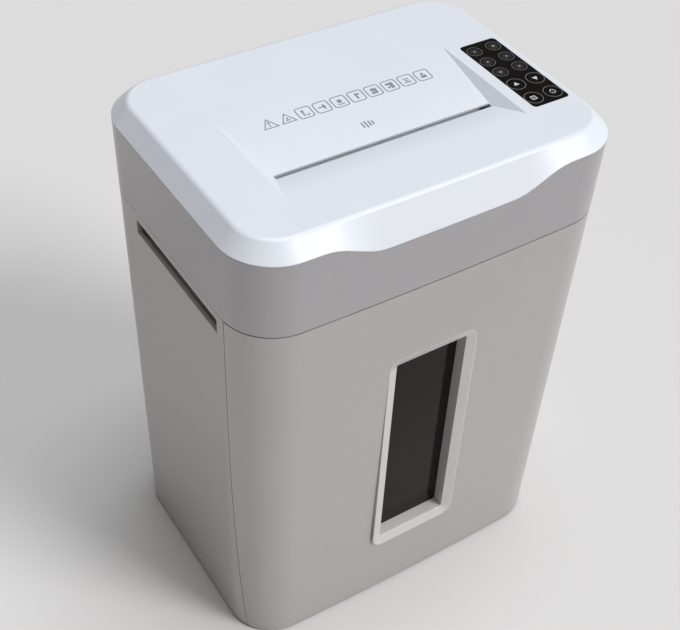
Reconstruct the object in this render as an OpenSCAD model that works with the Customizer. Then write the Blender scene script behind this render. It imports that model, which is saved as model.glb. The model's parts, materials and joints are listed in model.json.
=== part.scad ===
// Paper shredder: a drafted floor cabinet with a pull-out bin, and a cutting head under a white lid.
// X runs to the right, the front faces -Y, +Z is up, and the feet stand on z = 0.

/* [Cabinet] */
// Overall width
cabinet_w = 380; // [365:1:460]
// Overall depth
cabinet_d = 281; // [276:1:340]
// Height of the seam between the cabinet and the head
seam_z = 431; // [400:1:520]
// Wall of the cabinet panels, the head and the bin front
wall = 3; // [2:0.1:4]
// Radius of the upright corners
corner_r = 49.6; // [42:0.1:60]
// How much narrower each side is at the base
draft_x = 4.9; // [0:0.1:8]
// How much narrower the front and the back are at the base
draft_y = 7.2; // [0:0.1:8]
// Bulge of the front face between its corners
front_bow = 2; // [0:0.1:3]
// Height of the rubber feet
foot_h = 3; // [2:0.5:6]
// Radius of the rubber feet
foot_r = 11; // [8:0.5:14]

/* [Hand grips] */
// Length of each hand grip
grip_l = 150; // [100:1:170]
// Distance of the grips in front of the middle of the cabinet
grip_forward = 8; // [0:1:12]
// Height of each hand grip
grip_h = 19; // [12:1:24]
// Depth of the pocket behind each grip
grip_depth = 20; // [15:1:24]

/* [Head and lid] */
// Height of the head above the seam
head_h = 90.5; // [84:0.5:112]
// Width of the sloping rim round the lid, seen from above
rim_inset = 14.4; // [8:0.1:18]
// Height of the sloping rim at the sides
rim_h = 16; // [12:0.5:20]
// Extra depth of the rim in the middle of the front
lip_drop = 17; // [0:0.5:24]
// Half width of the level part of the front lip
lip_flat = 63; // [40:1:70]
// Length of the S curve at each end of the lip
lip_ramp = 60; // [30:1:64]
// Wall of the lid
lid_wall = 2.5; // [2:0.1:3]

/* [Feed] */
// Distance of the feed and the cutting block from the middle, to the right
feed_x = -3.2; // [-6:0.1:3]
// Length of the paper slot
slot_w = 219.6; // [170:0.1:226]
// Width of the paper slot
slot_gap = 5.4; // [4.6:0.1:6]
// Distance of the slot in front of the middle of the cabinet
slot_forward = 44.5; // [42:0.5:52]
// Depth of the feed recess at the slot
recess_depth = 7.8; // [4:0.1:9]
// Length of the gentle slope behind the slot
recess_rear = 88; // [60:1:92]
// Length of the short slope in front of the slot
recess_front = 32; // [16:1:36]

/* [Keypad] */
// Width of the keypad
keypad_w = 40; // [40:1:42]
// Length of the keypad
keypad_l = 112; // [110:1:116]
// Thickness of the keypad plate
keypad_t = 1.6; // [1.2:0.1:2]
// Radius of each key
key_r = 6.8; // [5:0.1:6.9]
// Travel of each key
key_travel = 0.6; // [0.3:0.1:0.8]
// Distance between the two columns of keys
key_gap_x = 21.6; // [20:0.1:21.6]

/* [Bin] */
// Length of the bin bucket, from its front wall to its back wall
bucket_l = 232; // [180:1:234]
// Width of the bin bucket
bucket_w = 344; // [280:1:346]
// Height of the side walls of the bucket
bucket_h = 376; // [250:1:380]
// Radius of the upright corners of the bucket
bucket_r = 31; // [28:1:40]
// Wall of the bucket
bucket_wall = 2.2; // [1.5:0.1:3]
// Width of the window frame
window_w = 98; // [70:1:110]
// Height of the window frame
window_h = 269; // [180:1:290]
// Width of the sloping edge of the window frame
bezel_w = 10.5; // [6:0.5:12]
// Thickness of the window pane
pane_t = 2.5; // [2:0.1:4]

/* [Cutting block] */
// Distance between the two cutter shafts
shaft_gap = 33; // [32.5:0.1:33.5]
// Radius of the cutter discs over their teeth
disc_r = 19; // [18:0.1:19.2]
// Thickness of one cutter disc
disc_t = 3.7; // [3:0.05:3.75]
// Spacing of the discs along a shaft
disc_pitch = 8.1; // [8:0.05:9]
// Radius of the hub between two discs
hub_r = 12; // [11.5:0.1:12.2]
// Radius of the six-sided shaft over its corners
hex_r = 10; // [8:0.1:10.5]
// Radius of the shaft journals
journal_r = 6; // [5:0.1:7]
// Thickness of the side plates
plate_t = 2.5; // [2:0.1:3]
// Radius of the motor
motor_r = 31; // [26:0.5:32]
// Length of the motor can
motor_l = 96; // [70:1:110]

/* [Clearances] */
// Gap between the bin front and the head above it
bin_gap = 1.2; // [0.8:0.1:2]
// Gap between the bin front and the cabinet sides
side_gap = 0.8; // [0.5:0.1:2]
// Radial clearance of a shaft in its bore
run_fit = 0.05; // [0.02:0.01:0.09]
// Gap round a piece that is set into an opening
set_gap = 0.3; // [0.2:0.05:0.5]

/* [Hidden] */

// Smoothness of arcs in the shells, and how many steps the front face has
arc_steps = 9;
front_steps = 24;
// A cut runs this far past the faces it opens
over = 1;

// Heights
top_z = seam_z + head_h;
rim_z = top_z - rim_h;
base_z = foot_h;
panel_t = 3;

// Seam between the side panels and the bin front: upright above seam_bend_z, then a parabola
side_seam_y = -cabinet_d/2 + 47;
seam_bend_z = 320;
seam_curve = 0.00013;
seam_steps = 8;

// Feed
slot_y = -slot_forward;
slot_back_y = slot_y + slot_gap/2;
slot_front_y = slot_y - slot_gap/2;
recess_w = slot_w + 23;
recess_end_floor = 0.6;
recess_angle = atan(recess_depth/recess_rear);
well_z = top_z - 16;
well_margin = 3;
throat_wall = 6;

// Keypad
keypad_x = cabinet_w/2 - 40;
keypad_y = slot_y + 24.5;
keypad_corner = 4;
keypad_ledge = 1.5;
board_t = 1.6;
board_top_z = top_z - keypad_t - 4.8;
key_flange = 0.6;
key_flange_t = 1.8;
key_rows = [-18.2, -43];
lens_rows = [43.7, 23.7, 4.5];
lens_r = 5.4;

// Cutting block: the axes run along X and are given as [y, z]
cutter_z = seam_z + 22;
disc_count = round(slot_w/disc_pitch);
stack_l = disc_count*disc_pitch;
plate_x = stack_l/2 + 6.65;
plate_out_x = plate_x + plate_t;
front_axis = [slot_y - shaft_gap/2, cutter_z];
rear_axis = [slot_y + shaft_gap/2, cutter_z];

// Gear train: stub teeth, three steps from the motor to the rear cutter shaft
pressure_angle = 25;
addendum = 0.8;
dedendum = 1.1;
backlash = 0.2;
sync_teeth = 22;
sync_module = shaft_gap/sync_teeth;
drive_teeth = 52;
drive_pinion_teeth = 14;
drive_module = 1.5;
mid_teeth = 46;
mid_pinion_teeth = 14;
mid_module = 1.25;
fast_teeth = 60;
fast_pinion_teeth = 12;
fast_module = 1;
gear_t = 7;
plane_a = plate_out_x + 3;
plane_b = plane_a + gear_t + 2;
plane_c = plane_b + gear_t + 2;
second_dir = -15;
first_dir = 35;
motor_dir = -30;
second_axis = rear_axis + polar((drive_teeth + drive_pinion_teeth)*drive_module/2, second_dir);
first_axis = second_axis + polar((mid_teeth + mid_pinion_teeth)*mid_module/2, first_dir);
motor_axis = first_axis + polar((fast_teeth + fast_pinion_teeth)*fast_module/2, motor_dir);
axle_r = 4;
gear_plate_x = plane_c + gear_t + 1;
bush_r = 9;
bush_l = 6;

// Tie rods as [y, z]
rod_r = 4;
rods = [
    [front_axis[0] - 27.5, cutter_z + 22], [front_axis[0] - 27.5, cutter_z - 36],
    [motor_axis[0] + 22, motor_axis[1] + 35], [motor_axis[0] - 24, motor_axis[1] - 31]
];
nut_r = 7;
nut_t = 4;
rod_end = 0.5;

// Sump under the head, round the cutting block and just clear of the rod ends
sump_wall = 2.5;
sump_hw = gear_plate_x + plate_t + nut_t + rod_end + 0.2 + sump_wall;
sump_front_y = -cabinet_d/2 + 29;
sump_rear_y = motor_axis[0] + motor_r + 8;
sump_z = seam_z - 30;
plate_z = sump_z + sump_wall;
plate_top_z = cutter_z + 36;
plate_front_y = front_axis[0] - 33;
plate_rear_y = motor_axis[0] + motor_r + 2;

// Bin
bin_top_z = seam_z - bin_gap;
bucket_z = base_z + panel_t + 4;
bucket_front_y = -cabinet_d/2 + 21;
bucket_rear_y = bucket_front_y + bucket_l;
runner_x = 120;
window_z = base_z + 77 + window_h/2;
window_r = 12.5;
pane_y = bucket_front_y - pane_t;
pane_margin = 5;
bin_boss_x = 85;
bin_boss_z = [60, 225, 375];
screw_r = 1.5;
screw_head_r = 2.8;
plunger_r = 3;
plunger_z = 340;
plunger_gap = 0.1;

// Colours
white = "#eef2f8";
taupe = "#a8a6a3";
steel = "#8d9299";
zinc = "#c3c6ca";
dark = "#2a2b2e";
nylon = "#d9d6c8";
copper = "#b97a4a";

// ---------------------------------------------------------------- helpers

function polar(r, angle) = [r*cos(angle), r*sin(angle)];

// Half width and half depth of the outside at height z
function draft_at(z) = 1 - min(1, (z - base_z)/(rim_z - base_z));
function half_w(z) = cabinet_w/2 - draft_x*draft_at(z);
function half_d(z) = cabinet_d/2 - draft_y*draft_at(z);

// Outline with four round corners and a bowed front, inset on every side, counter-clockwise
function corner_points(cx, cy, r, start) =
    [for (i = [0:arc_steps]) [cx, cy] + polar(r, start + 90*i/arc_steps)];
function outline(z, inset = 0) =
    let (hw = half_w(z) - inset, hd = half_d(z) - inset, r = corner_r - inset)
    let (cx = hw - r, cy = hd - r, fy = hd - front_bow - r)
    concat(
        corner_points(cx, cy, r, 0),
        corner_points(-cx, cy, r, 90),
        corner_points(-cx, -fy, r, 180),
        [for (i = [1:front_steps - 1])
            let (t = 2*i/front_steps - 1)
            [cx*t, -hd + front_bow*t*t]],
        corner_points(cx, -fy, r, 270)
    );

function loop_at(z, inset = 0) = [for (p = outline(z, inset)) [p[0], p[1], z]];

// Height of the lower edge of the lid: level, with a deeper lip in the middle of the front
function lip_share(x) =
    abs(x) < lip_flat ? 1
    : abs(x) < lip_flat + lip_ramp ? (1 + cos(180*(abs(x) - lip_flat)/lip_ramp))/2
    : 0;
function edge_z(p) = p[1] < 0 ? rim_z - lip_drop*lip_share(p[0]) : rim_z;
function edge_loop(inset) = [for (p = outline(rim_z, inset)) [p[0], p[1], edge_z(p)]];

function strip_faces(a, b, n) =
    [for (i = [0:n - 1])
        let (j = (i + 1) % n)
        each [[a + i, b + i, b + j], [a + i, b + j, a + j]]];

// Solid through a list of loops, closed by its first and last loop
module skin(loops) {
    n = len(loops[0]);
    last = (len(loops) - 1)*n;
    polyhedron(
        points = [for (l = loops) each l],
        faces = concat(
            [[for (i = [0:n - 1]) i]],
            [for (k = [0:len(loops) - 2]) each strip_faces(k*n, (k + 1)*n, n)],
            [[for (i = [n - 1:-1:0]) last + i]]
        )
    );
}

// Ring through a list of loops, where the last loop joins the first
module ring_skin(loops) {
    n = len(loops[0]);
    m = len(loops);
    polyhedron(
        points = [for (l = loops) each l],
        faces = [for (k = [0:m - 1]) each strip_faces(k*n, ((k + 1) % m)*n, n)]
    );
}

// Filled and hollow slices of the cabinet shape
module slab(z0, z1, inset) {
    skin([loop_at(z0, inset), loop_at(z1, inset)]);
}

module tube(z0, z1, t) {
    ring_skin([loop_at(z0), loop_at(z1), loop_at(z1, t), loop_at(z0, t)]);
}

// Box between two corners
module span(a, b) {
    translate(a) cube(b - a);
}

// Everything that is centred on the feed
module on_feed() {
    translate([feed_x, 0, 0]) children();
}

// Children drawn in XY and extruded along Z are laid along +X or +Y
module along_x(x, axis = [0, 0]) {
    translate([x, axis[0], axis[1]]) rotate([90, 0, 90]) children();
}

module along_y(y, at = [0, 0]) {
    translate([at[0], y, at[1]]) rotate([-90, 0, 0]) children();
}

function round_rect(w, h, r) =
    let (cx = w/2 - r, cy = h/2 - r)
    concat(
        corner_points(cx, cy, r, 0), corner_points(-cx, cy, r, 90),
        corner_points(-cx, -cy, r, 180), corner_points(cx, -cy, r, 270)
    );

module round_plate(w, h, r, t) {
    linear_extrude(t) polygon(round_rect(w, h, r));
}

// Seam line between the side panel and the bin front, shifted by d
function seam_y(z) = side_seam_y - seam_curve*pow(max(0, seam_bend_z - z), 2);

module seam_cutter(d, y_far) {
    z0 = base_z - over;
    z1 = seam_z + over;
    points = [for (i = [0:seam_steps])
        let (z = z0 + (seam_bend_z - z0)*i/seam_steps)
        [seam_y(z) + d, z]];
    along_x(-cabinet_w/2 - over)
        linear_extrude(cabinet_w + 2*over)
            polygon(concat(points, [[side_seam_y + d, z1], [y_far, z1], [y_far, z0]]));
}

// Involute gear outline with stub teeth
function involute(a) = tan(a)*180/PI - a;
function tooth_half(r, m, teeth) =
    let (base_r = m*teeth/2*cos(pressure_angle))
    90/teeth - backlash/(m*teeth)*90/PI + involute(pressure_angle)
        - involute(acos(min(1, base_r/r)));
function gear_points(m, teeth, phase) =
    let (pitch_r = m*teeth/2, root_r = pitch_r - dedendum*m, tip_r = pitch_r + addendum*m)
    let (start_r = max(root_r + 0.01, pitch_r*cos(pressure_angle)))
    let (radii = [for (k = [0:3]) start_r + (tip_r - start_r)*k/3])
    [for (i = [0:teeth - 1])
        let (c = phase + 360*i/teeth)
        each concat(
            [polar(root_r, c - tooth_half(start_r, m, teeth))],
            [for (r = radii) polar(r, c - tooth_half(r, m, teeth))],
            [for (k = [3:-1:0]) polar(radii[k], c + tooth_half(radii[k], m, teeth))],
            [polar(root_r, c + tooth_half(start_r, m, teeth))]
        )];

module gear(m, teeth, phase, t = gear_t) {
    linear_extrude(t) polygon(gear_points(m, teeth, phase));
}

// Phase that points a gap at the direction where the other gear points a tooth
function gap_phase(dir, teeth) = dir + 180 + 180/teeth;

// ---------------------------------------------------------------- cabinet

module cabinet_shell() {
    tube(base_z, seam_z, wall);
}

// Side panel with its rear corner; side is -1 on the left and 1 on the right
module cabinet_side(side) {
    flat_x = half_w(rim_z) - corner_r;
    color(taupe) difference() {
        intersection() {
            cabinet_shell();
            seam_cutter(0, cabinet_d);
            translate([side > 0 ? flat_x : -cabinet_w, -cabinet_d, 0])
                cube([cabinet_w - flat_x, 2*cabinet_d, seam_z]);
        }
        translate([side*cabinet_w/2, -grip_forward, grip_z])
            cube([4*grip_depth, grip_l, grip_h], center = true);
    }
}

grip_z = seam_z - 8 - grip_h/2;

module cabinet_left() {
    cabinet_side(-1);
}

module cabinet_right() {
    cabinet_side(1);
}

module cabinet_rear() {
    flat_x = half_w(rim_z) - corner_r;
    color(taupe) intersection() {
        cabinet_shell();
        span([-flat_x, 0, 0], [flat_x, cabinet_d, seam_z]);
    }
}

module base_tray() {
    color(dark) difference() {
        intersection() {
            slab(base_z, base_z + panel_t, wall);
            span([-cabinet_w, seam_y(base_z) + side_gap + 8, 0], [cabinet_w, cabinet_d, seam_z]);
        }
        for (x = foot_xs(), y = foot_ys())
            translate([x, y, 0]) cylinder(r = screw_r + run_fit, h = 20, $fn = 24);
    }
}

function foot_xs() = [-runner_x - 22, runner_x + 22];
function foot_ys() = [-cabinet_d/2 + 52, cabinet_d/2 - 40];

module rubber_feet() {
    color(dark) for (x = foot_xs(), y = foot_ys())
        translate([x, y, 0]) difference() {
            cylinder(r = foot_r, h = foot_h, $fn = 48);
            translate([0, 0, -over]) cylinder(r = screw_r + run_fit, h = foot_h + 2*over, $fn = 24);
        }
}

module base_screws() {
    color(zinc) for (x = foot_xs(), y = foot_ys())
        translate([x, y, foot_h/2]) {
            cylinder(r = screw_r, h = foot_h/2 + panel_t, $fn = 24);
            translate([0, 0, foot_h/2 + panel_t]) cylinder(r = screw_head_r, h = 1.2, $fn = 24);
        }
}

module bin_runners() {
    color(nylon) for (side = [-1, 1])
        translate([side*runner_x, (sump_front_y + bucket_rear_y)/2, base_z + panel_t + 1.9])
            cube([14, bucket_rear_y - sump_front_y, 3.8], center = true);
}

module top_frame() {
    rail_z = seam_z - 3.5;
    color(dark) difference() {
        intersection() {
            slab(rail_z, seam_z, wall);
            span([-cabinet_w, side_seam_y + 4, 0], [cabinet_w, cabinet_d, seam_z]);
        }
        on_feed() span([-sump_hw, -cabinet_d, rail_z - over], [sump_hw, sump_rear_y, seam_z + over]);
        for (p = boss_at)
            translate([p[0], p[1], rail_z - over])
                cylinder(r = screw_head_r + set_gap, h = 5, $fn = 32);
    }
}

// Open scoop behind the grip opening
module grip_scoop(side) {
    t = 1.5;
    color(taupe) difference() {
        intersection() {
            slab(base_z, seam_z, wall);
            translate([side*(cabinet_w/2 - grip_depth/2), -grip_forward, grip_z])
                cube([grip_depth, grip_l + 2*t, grip_h + 2*t], center = true);
        }
        translate([side*(cabinet_w/2 - grip_depth/2 + t), -grip_forward, grip_z])
            cube([grip_depth, grip_l, grip_h], center = true);
    }
}

module grip_left() {
    grip_scoop(-1);
}

module grip_right() {
    grip_scoop(1);
}

// ---------------------------------------------------------------- head shells

gland_r = 9;
gland_x = -cabinet_w/2 + 62;
gland_z = seam_z + 22;
vent_count = 13;
vent_pitch = 9;
vent_h = 32;
vent_w = 3;

module head_housing() {
    color(taupe) difference() {
        ring_skin([loop_at(seam_z), edge_loop(0), edge_loop(wall), loop_at(seam_z, wall)]);
        along_y(cabinet_d/2 - 2*wall, [gland_x, gland_z])
            cylinder(r = gland_r, h = 3*wall, $fn = 48);
        for (i = [0:vent_count - 1])
            translate([(i - (vent_count - 1)/2)*vent_pitch, cabinet_d/2, seam_z + 38])
                cube([vent_w, 4*wall, vent_h], center = true);
    }
}

module cord_gland() {
    color(dark) difference() {
        union() {
            along_y(cabinet_d/2 - wall - 8, [gland_x, gland_z])
                cylinder(r = gland_r, h = wall + 7, $fn = 48);
            intersection() {
                slab(seam_z, rim_z, wall);
                along_y(cabinet_d/2 - wall - 4, [gland_x, gland_z])
                    cylinder(r = gland_r + 3, h = 2*wall, $fn = 48);
            }
        }
        along_y(cabinet_d/2 - 20, [gland_x, gland_z]) cylinder(r = 3.6, h = 30, $fn = 48);
    }
}

boss_r = 4.5;
boss_at = [for (x = [-1, 1], y = [-1, 1]) [x*(cabinet_w/2 - 19), y*(cabinet_d/2 - 43)]];

module head_tray() {
    color(dark) difference() {
        union() {
            slab(seam_z, seam_z + panel_t, wall);
            on_feed() span([-sump_hw, sump_front_y, sump_z], [sump_hw, sump_rear_y, seam_z + panel_t]);
        }
        on_feed() span([-sump_hw + sump_wall, sump_front_y + sump_wall, plate_z],
            [sump_hw - sump_wall, sump_rear_y - sump_wall, top_z]);
        on_feed() span([-stack_l/2, front_axis[0] - disc_r, sump_z - over],
            [stack_l/2, rear_axis[0] + disc_r, top_z]);
        for (p = boss_at)
            translate([p[0], p[1], seam_z - over])
                cylinder(r = screw_r + run_fit, h = panel_t + 2*over, $fn = 24);
    }
}

// Trough with a long slope behind the slot, a short one in front and sloped ends
module feed_recess() {
    floor_z = top_z - recess_depth;
    floor_hw = slot_w/2 + recess_end_floor;
    intersection() {
        along_x(-recess_w/2)
            linear_extrude(recess_w)
                polygon([
                    [slot_front_y - recess_front, top_z + over], [slot_front_y - recess_front, top_z],
                    [slot_front_y, floor_z], [slot_back_y, floor_z],
                    [slot_back_y + recess_rear, top_z], [slot_back_y + recess_rear, top_z + over]
                ]);
        translate([0, cabinet_d/2, 0]) rotate([90, 0, 0])
            linear_extrude(cabinet_d)
                polygon([
                    [-recess_w/2, top_z + over], [-recess_w/2, top_z], [-floor_hw, floor_z],
                    [floor_hw, floor_z], [recess_w/2, top_z], [recess_w/2, top_z + over]
                ]);
    }
}

module top_cover() {
    cavity_z = top_z - panel_t;
    color(white) difference() {
        union() {
            skin([
                [for (p = outline(rim_z, rim_inset + lid_wall)) [p[0], p[1], cavity_z]],
                edge_loop(lid_wall),
                edge_loop(0),
                [for (p = outline(rim_z, rim_inset)) [p[0], p[1], top_z]]
            ]);
            on_feed() span([-recess_w/2 - well_margin, slot_front_y - recess_front - well_margin, well_z],
                [recess_w/2 + well_margin, slot_back_y + recess_rear + well_margin, top_z - 1]);
            for (p = boss_at)
                translate([p[0], p[1], seam_z + panel_t])
                    cylinder(r = boss_r, h = top_z - seam_z - panel_t - 1, $fn = 32);
        }
        on_feed() feed_recess();
        on_feed() span([-slot_w/2, slot_front_y, well_z - over], [slot_w/2, slot_back_y, top_z + over]);
        translate([keypad_x, keypad_y, top_z - keypad_t])
            round_plate(keypad_w + set_gap, keypad_l + set_gap, keypad_corner, keypad_t + over);
        translate([keypad_x, keypad_y, well_z])
            round_plate(keypad_w - 2*keypad_ledge, keypad_l - 2*keypad_ledge, keypad_corner,
                top_z - well_z);
        for (p = boss_at)
            translate([p[0], p[1], seam_z])
                cylinder(r = screw_r + run_fit, h = 20, $fn = 24);
    }
}

module head_screws() {
    color(zinc) for (p = boss_at)
        translate([p[0], p[1], seam_z - 2]) {
            cylinder(r = screw_r, h = 18, $fn = 24);
            cylinder(r = screw_head_r, h = 2, $fn = 24);
        }
}

throat_z = cutter_z + disc_r + 3;

module feed_throat() {
    color(white) on_feed() difference() {
        span([-slot_w/2 - 3, slot_front_y - throat_wall, throat_z],
            [slot_w/2 + 3, slot_back_y + throat_wall, well_z]);
        span([-slot_w/2, slot_front_y, throat_z - over], [slot_w/2, slot_back_y, well_z + over]);
        for (side = [-1, 1])
            along_y(slot_y, [0, throat_z + 12])
                translate([0, 0, side > 0 ? slot_gap/2 - over : -slot_gap/2 - throat_wall - over])
                    cylinder(r = 3, h = throat_wall + 2*over, $fn = 24);
    }
}

// Light source and receiver that see the paper, one on each side of the slot
module paper_sensors() {
    color(dark) on_feed() for (side = [-1, 1])
        along_y(slot_y, [0, throat_z + 12])
            translate([0, 0, side > 0 ? slot_gap/2 + 1 : -slot_gap/2 - 1 - throat_wall])
                cylinder(r = 3, h = throat_wall, $fn = 24);
}

symbol_pitch = 17.7;
symbol_size = 15;
symbol_line = 0.6;
symbol_t = 0.2;
symbol_y = slot_back_y + 59;

// Two warning triangles and eight plain tiles, drawn as thin outlines on the slope
module safety_symbols() {
    slope_z = top_z - recess_depth*(1 - (symbol_y - slot_back_y)/recess_rear);
    color("#8b8f96") on_feed() translate([0, symbol_y, slope_z]) rotate([recess_angle, 0, 0])
        for (i = [0:9])
            translate([(i - 4.5)*symbol_pitch, 0, 0])
                if (i < 2) symbol_triangle();
                else symbol_tile();
}

module symbol_triangle() {
    r = symbol_size/sqrt(3);
    translate([0, -symbol_size/8, 0]) rotate(90) difference() {
        cylinder(r = r, h = symbol_t, $fn = 3);
        translate([0, 0, -over]) cylinder(r = r - 2*symbol_line, h = symbol_t + 2*over, $fn = 3);
    }
}

module symbol_tile() {
    inner = symbol_size - 2*symbol_line;
    difference() {
        round_plate(symbol_size, symbol_size, 3, symbol_t);
        translate([0, 0, -over]) round_plate(inner, inner, 3 - symbol_line, symbol_t + 2*over);
    }
}

// ---------------------------------------------------------------- keypad

module at_key(column, row_y) {
    translate([keypad_x + column*key_gap_x/2, keypad_y + row_y, 0]) children();
}

module keypad_panel() {
    leg_r = 1.5;
    color(dark) difference() {
        union() {
            translate([keypad_x, keypad_y, top_z - keypad_t])
                round_plate(keypad_w - set_gap, keypad_l - set_gap, keypad_corner, keypad_t);
            for (x = [-1, 1], y = [-1, 1])
                translate([keypad_x + x*(keypad_w/2 - 5), keypad_y + y*(keypad_l/2 - 4), board_top_z])
                    cylinder(r = leg_r, h = top_z - keypad_t/2 - board_top_z, $fn = 24);
        }
        for (column = [-1, 1], row_y = key_rows)
            at_key(column, row_y) translate([0, 0, board_top_z])
                cylinder(r = key_r + set_gap, h = 20, $fn = 48);
        for (column = [-1, 1], row_y = lens_rows)
            at_key(column, row_y) translate([0, 0, top_z - 0.8])
                cylinder(r = lens_r, h = over + 1, $fn = 48);
    }
}

module indicator_lenses() {
    color("#44474c") for (column = [-1, 1], row_y = lens_rows)
        at_key(column, row_y) translate([0, 0, top_z - 0.8])
            cylinder(r = lens_r, h = 0.8, $fn = 48);
}

module keypad_board() {
    color("#2f6b45") {
        translate([keypad_x, keypad_y, board_top_z - board_t])
            round_plate(keypad_w - 2*keypad_ledge - 2, keypad_l - 2*keypad_ledge - 2, 2, board_t);
        for (column = [-1, 1], row_y = key_rows)
            at_key(column, row_y) translate([0, 0, board_top_z])
                cylinder(r = 3, h = key_base_z - key_travel - 0.1 - board_top_z, $fn = 32);
    }
}

key_base_z = top_z - keypad_t - key_flange_t;

module key_cap(column, row_y) {
    color(dark) at_key(column, row_y) {
        translate([0, 0, key_base_z]) cylinder(r = key_r, h = top_z - key_base_z, $fn = 48);
        translate([0, 0, key_base_z])
            cylinder(r = key_r + key_flange, h = key_flange_t, $fn = 48);
    }
}

module key_power() {
    key_cap(-1, key_rows[1]);
}

module key_auto() {
    key_cap(1, key_rows[1]);
}

module key_forward() {
    key_cap(1, key_rows[0]);
}

module key_reverse() {
    key_cap(-1, key_rows[0]);
}

// ---------------------------------------------------------------- bin

module bin_bucket() {
    mid_y = bucket_front_y + bucket_l/2;
    inner_w = bucket_w - 2*bucket_wall;
    inner_l = bucket_l - 2*bucket_wall;
    color("#3a3b3d") difference() {
        union() {
            translate([0, mid_y, bucket_z]) round_plate(bucket_w, bucket_l, bucket_r, bucket_h);
            span([-bucket_w/2 + bucket_r, bucket_front_y, bucket_z + bucket_h - over],
                [bucket_w/2 - bucket_r, bucket_front_y + bucket_wall, bin_top_z - panel_t]);
        }
        translate([0, mid_y, bucket_z + bucket_wall])
            round_plate(inner_w, inner_l, bucket_r - bucket_wall, bin_top_z);
        along_y(bucket_front_y - over, [0, window_z])
            round_plate(window_w - 2*bezel_w, window_h - 2*bezel_w, 6, bucket_wall + 2*over);
        at_bin_bosses(bucket_front_y - over)
            cylinder(r = screw_r + run_fit, h = bucket_wall + 2*over, $fn = 24);
    }
}

module at_bin_bosses(y) {
    for (side = [-1, 1], z = bin_boss_z)
        along_y(y, [side*bin_boss_x, z]) children();
}

module bin_front() {
    color(taupe) difference() {
        union() {
            intersection() {
                union() {
                    tube(base_z, bin_top_z, wall);
                    intersection() {
                        slab(base_z, bin_top_z, wall/2);
                        union() {
                            span([-cabinet_w, -cabinet_d, bin_top_z - panel_t],
                                [cabinet_w, bucket_front_y + bucket_wall, bin_top_z]);
                            span([-cabinet_w, -cabinet_d, base_z],
                                [cabinet_w, bucket_front_y, base_z + panel_t]);
                            at_bin_bosses(-cabinet_d/2)
                                cylinder(r = 5, h = bucket_front_y + cabinet_d/2, $fn = 32);
                        }
                    }
                }
                seam_cutter(-side_gap, -cabinet_d);
            }
        }
        along_y(-cabinet_d, [0, window_z])
            round_plate(window_w + set_gap, window_h + set_gap, window_r,
                cabinet_d + bucket_front_y - 2);
        at_bin_bosses(bucket_front_y - 8)
            cylinder(r = screw_r + run_fit, h = 9, $fn = 24);
    }
}

// Loop of the window frame: size, corner radius and how far it lies behind the front face
function bezel_loop(w, h, r, back) =
    [for (p = round_rect(w, h, r))
        let (z = window_z + p[1])
        [p[0], back == undef ? pane_y : -half_d(z) + back, z]];

module window_bezel() {
    inner_w = window_w - 2*bezel_w;
    inner_h = window_h - 2*bezel_w;
    color("#b4b3b0") ring_skin([
        bezel_loop(window_w, window_h, window_r, 0.4),
        bezel_loop(window_w, window_h, window_r, undef),
        bezel_loop(inner_w, inner_h, 6, undef),
        bezel_loop(inner_w, inner_h, 6, 5)
    ]);
}

module window_pane() {
    w = window_w - 2*bezel_w + 2*pane_margin;
    h = window_h - 2*bezel_w + 2*pane_margin;
    color([0.12, 0.13, 0.14, 0.8])
        along_y(pane_y, [0, window_z]) round_plate(w, h, 6, pane_t);
}

module bin_screws() {
    color(zinc) {
        at_bin_bosses(bucket_front_y - 7)
            cylinder(r = screw_r, h = 7 + bucket_wall, $fn = 24);
        at_bin_bosses(bucket_front_y + bucket_wall)
            cylinder(r = screw_head_r, h = 1.6, $fn = 24);
    }
}

module interlock_switch() {
    color(dark) difference() {
        intersection() {
            slab(base_z, seam_z, wall);
            span([-10, bucket_rear_y + 5, plunger_z - 10], [10, cabinet_d/2, plunger_z + 10]);
        }
        along_y(bucket_rear_y, [0, plunger_z]) cylinder(r = plunger_r + run_fit, h = 14, $fn = 32);
    }
}

module interlock_plunger() {
    color(nylon) along_y(bucket_rear_y + plunger_gap, [0, plunger_z])
        cylinder(r = plunger_r, h = 13, $fn = 32);
}

// ---------------------------------------------------------------- cutting block

module side_plate(x) {
    color(zinc) on_feed() difference() {
        span([x, plate_front_y, plate_z], [x + plate_t, plate_rear_y, plate_top_z]);
        for (a = [front_axis, rear_axis])
            along_x(x - over, a) cylinder(r = bush_r, h = plate_t + 2*over, $fn = 48);
        for (a = rods)
            along_x(x - over, a) cylinder(r = rod_r, h = plate_t + 2*over, $fn = 32);
        if (x > 0) {
            along_x(x - over, motor_axis) cylinder(r = 8, h = plate_t + 2*over, $fn = 48);
            for (a = [first_axis, second_axis])
                along_x(x - over, a) cylinder(r = axle_r, h = plate_t + 2*over, $fn = 32);
        }
    }
}

module side_plate_left() {
    side_plate(-plate_out_x);
}

module side_plate_right() {
    side_plate(plate_x);
}

module gear_plate() {
    color(zinc) on_feed() difference() {
        span([gear_plate_x, plate_front_y, plate_z],
            [gear_plate_x + plate_t, plate_rear_y, plate_top_z]);
        for (a = rods)
            along_x(gear_plate_x - over, a) cylinder(r = rod_r, h = plate_t + 2*over, $fn = 32);
        for (a = [first_axis, second_axis])
            along_x(gear_plate_x - over, a) cylinder(r = axle_r, h = plate_t + 2*over, $fn = 32);
    }
}

module tie_rods() {
    left_x = -plate_out_x - nut_t - rod_end;
    right_x = gear_plate_x + plate_t + nut_t + rod_end;
    color(steel) on_feed() for (a = rods)
        along_x(left_x, a) cylinder(r = rod_r, h = right_x - left_x, $fn = 32);
}

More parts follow.
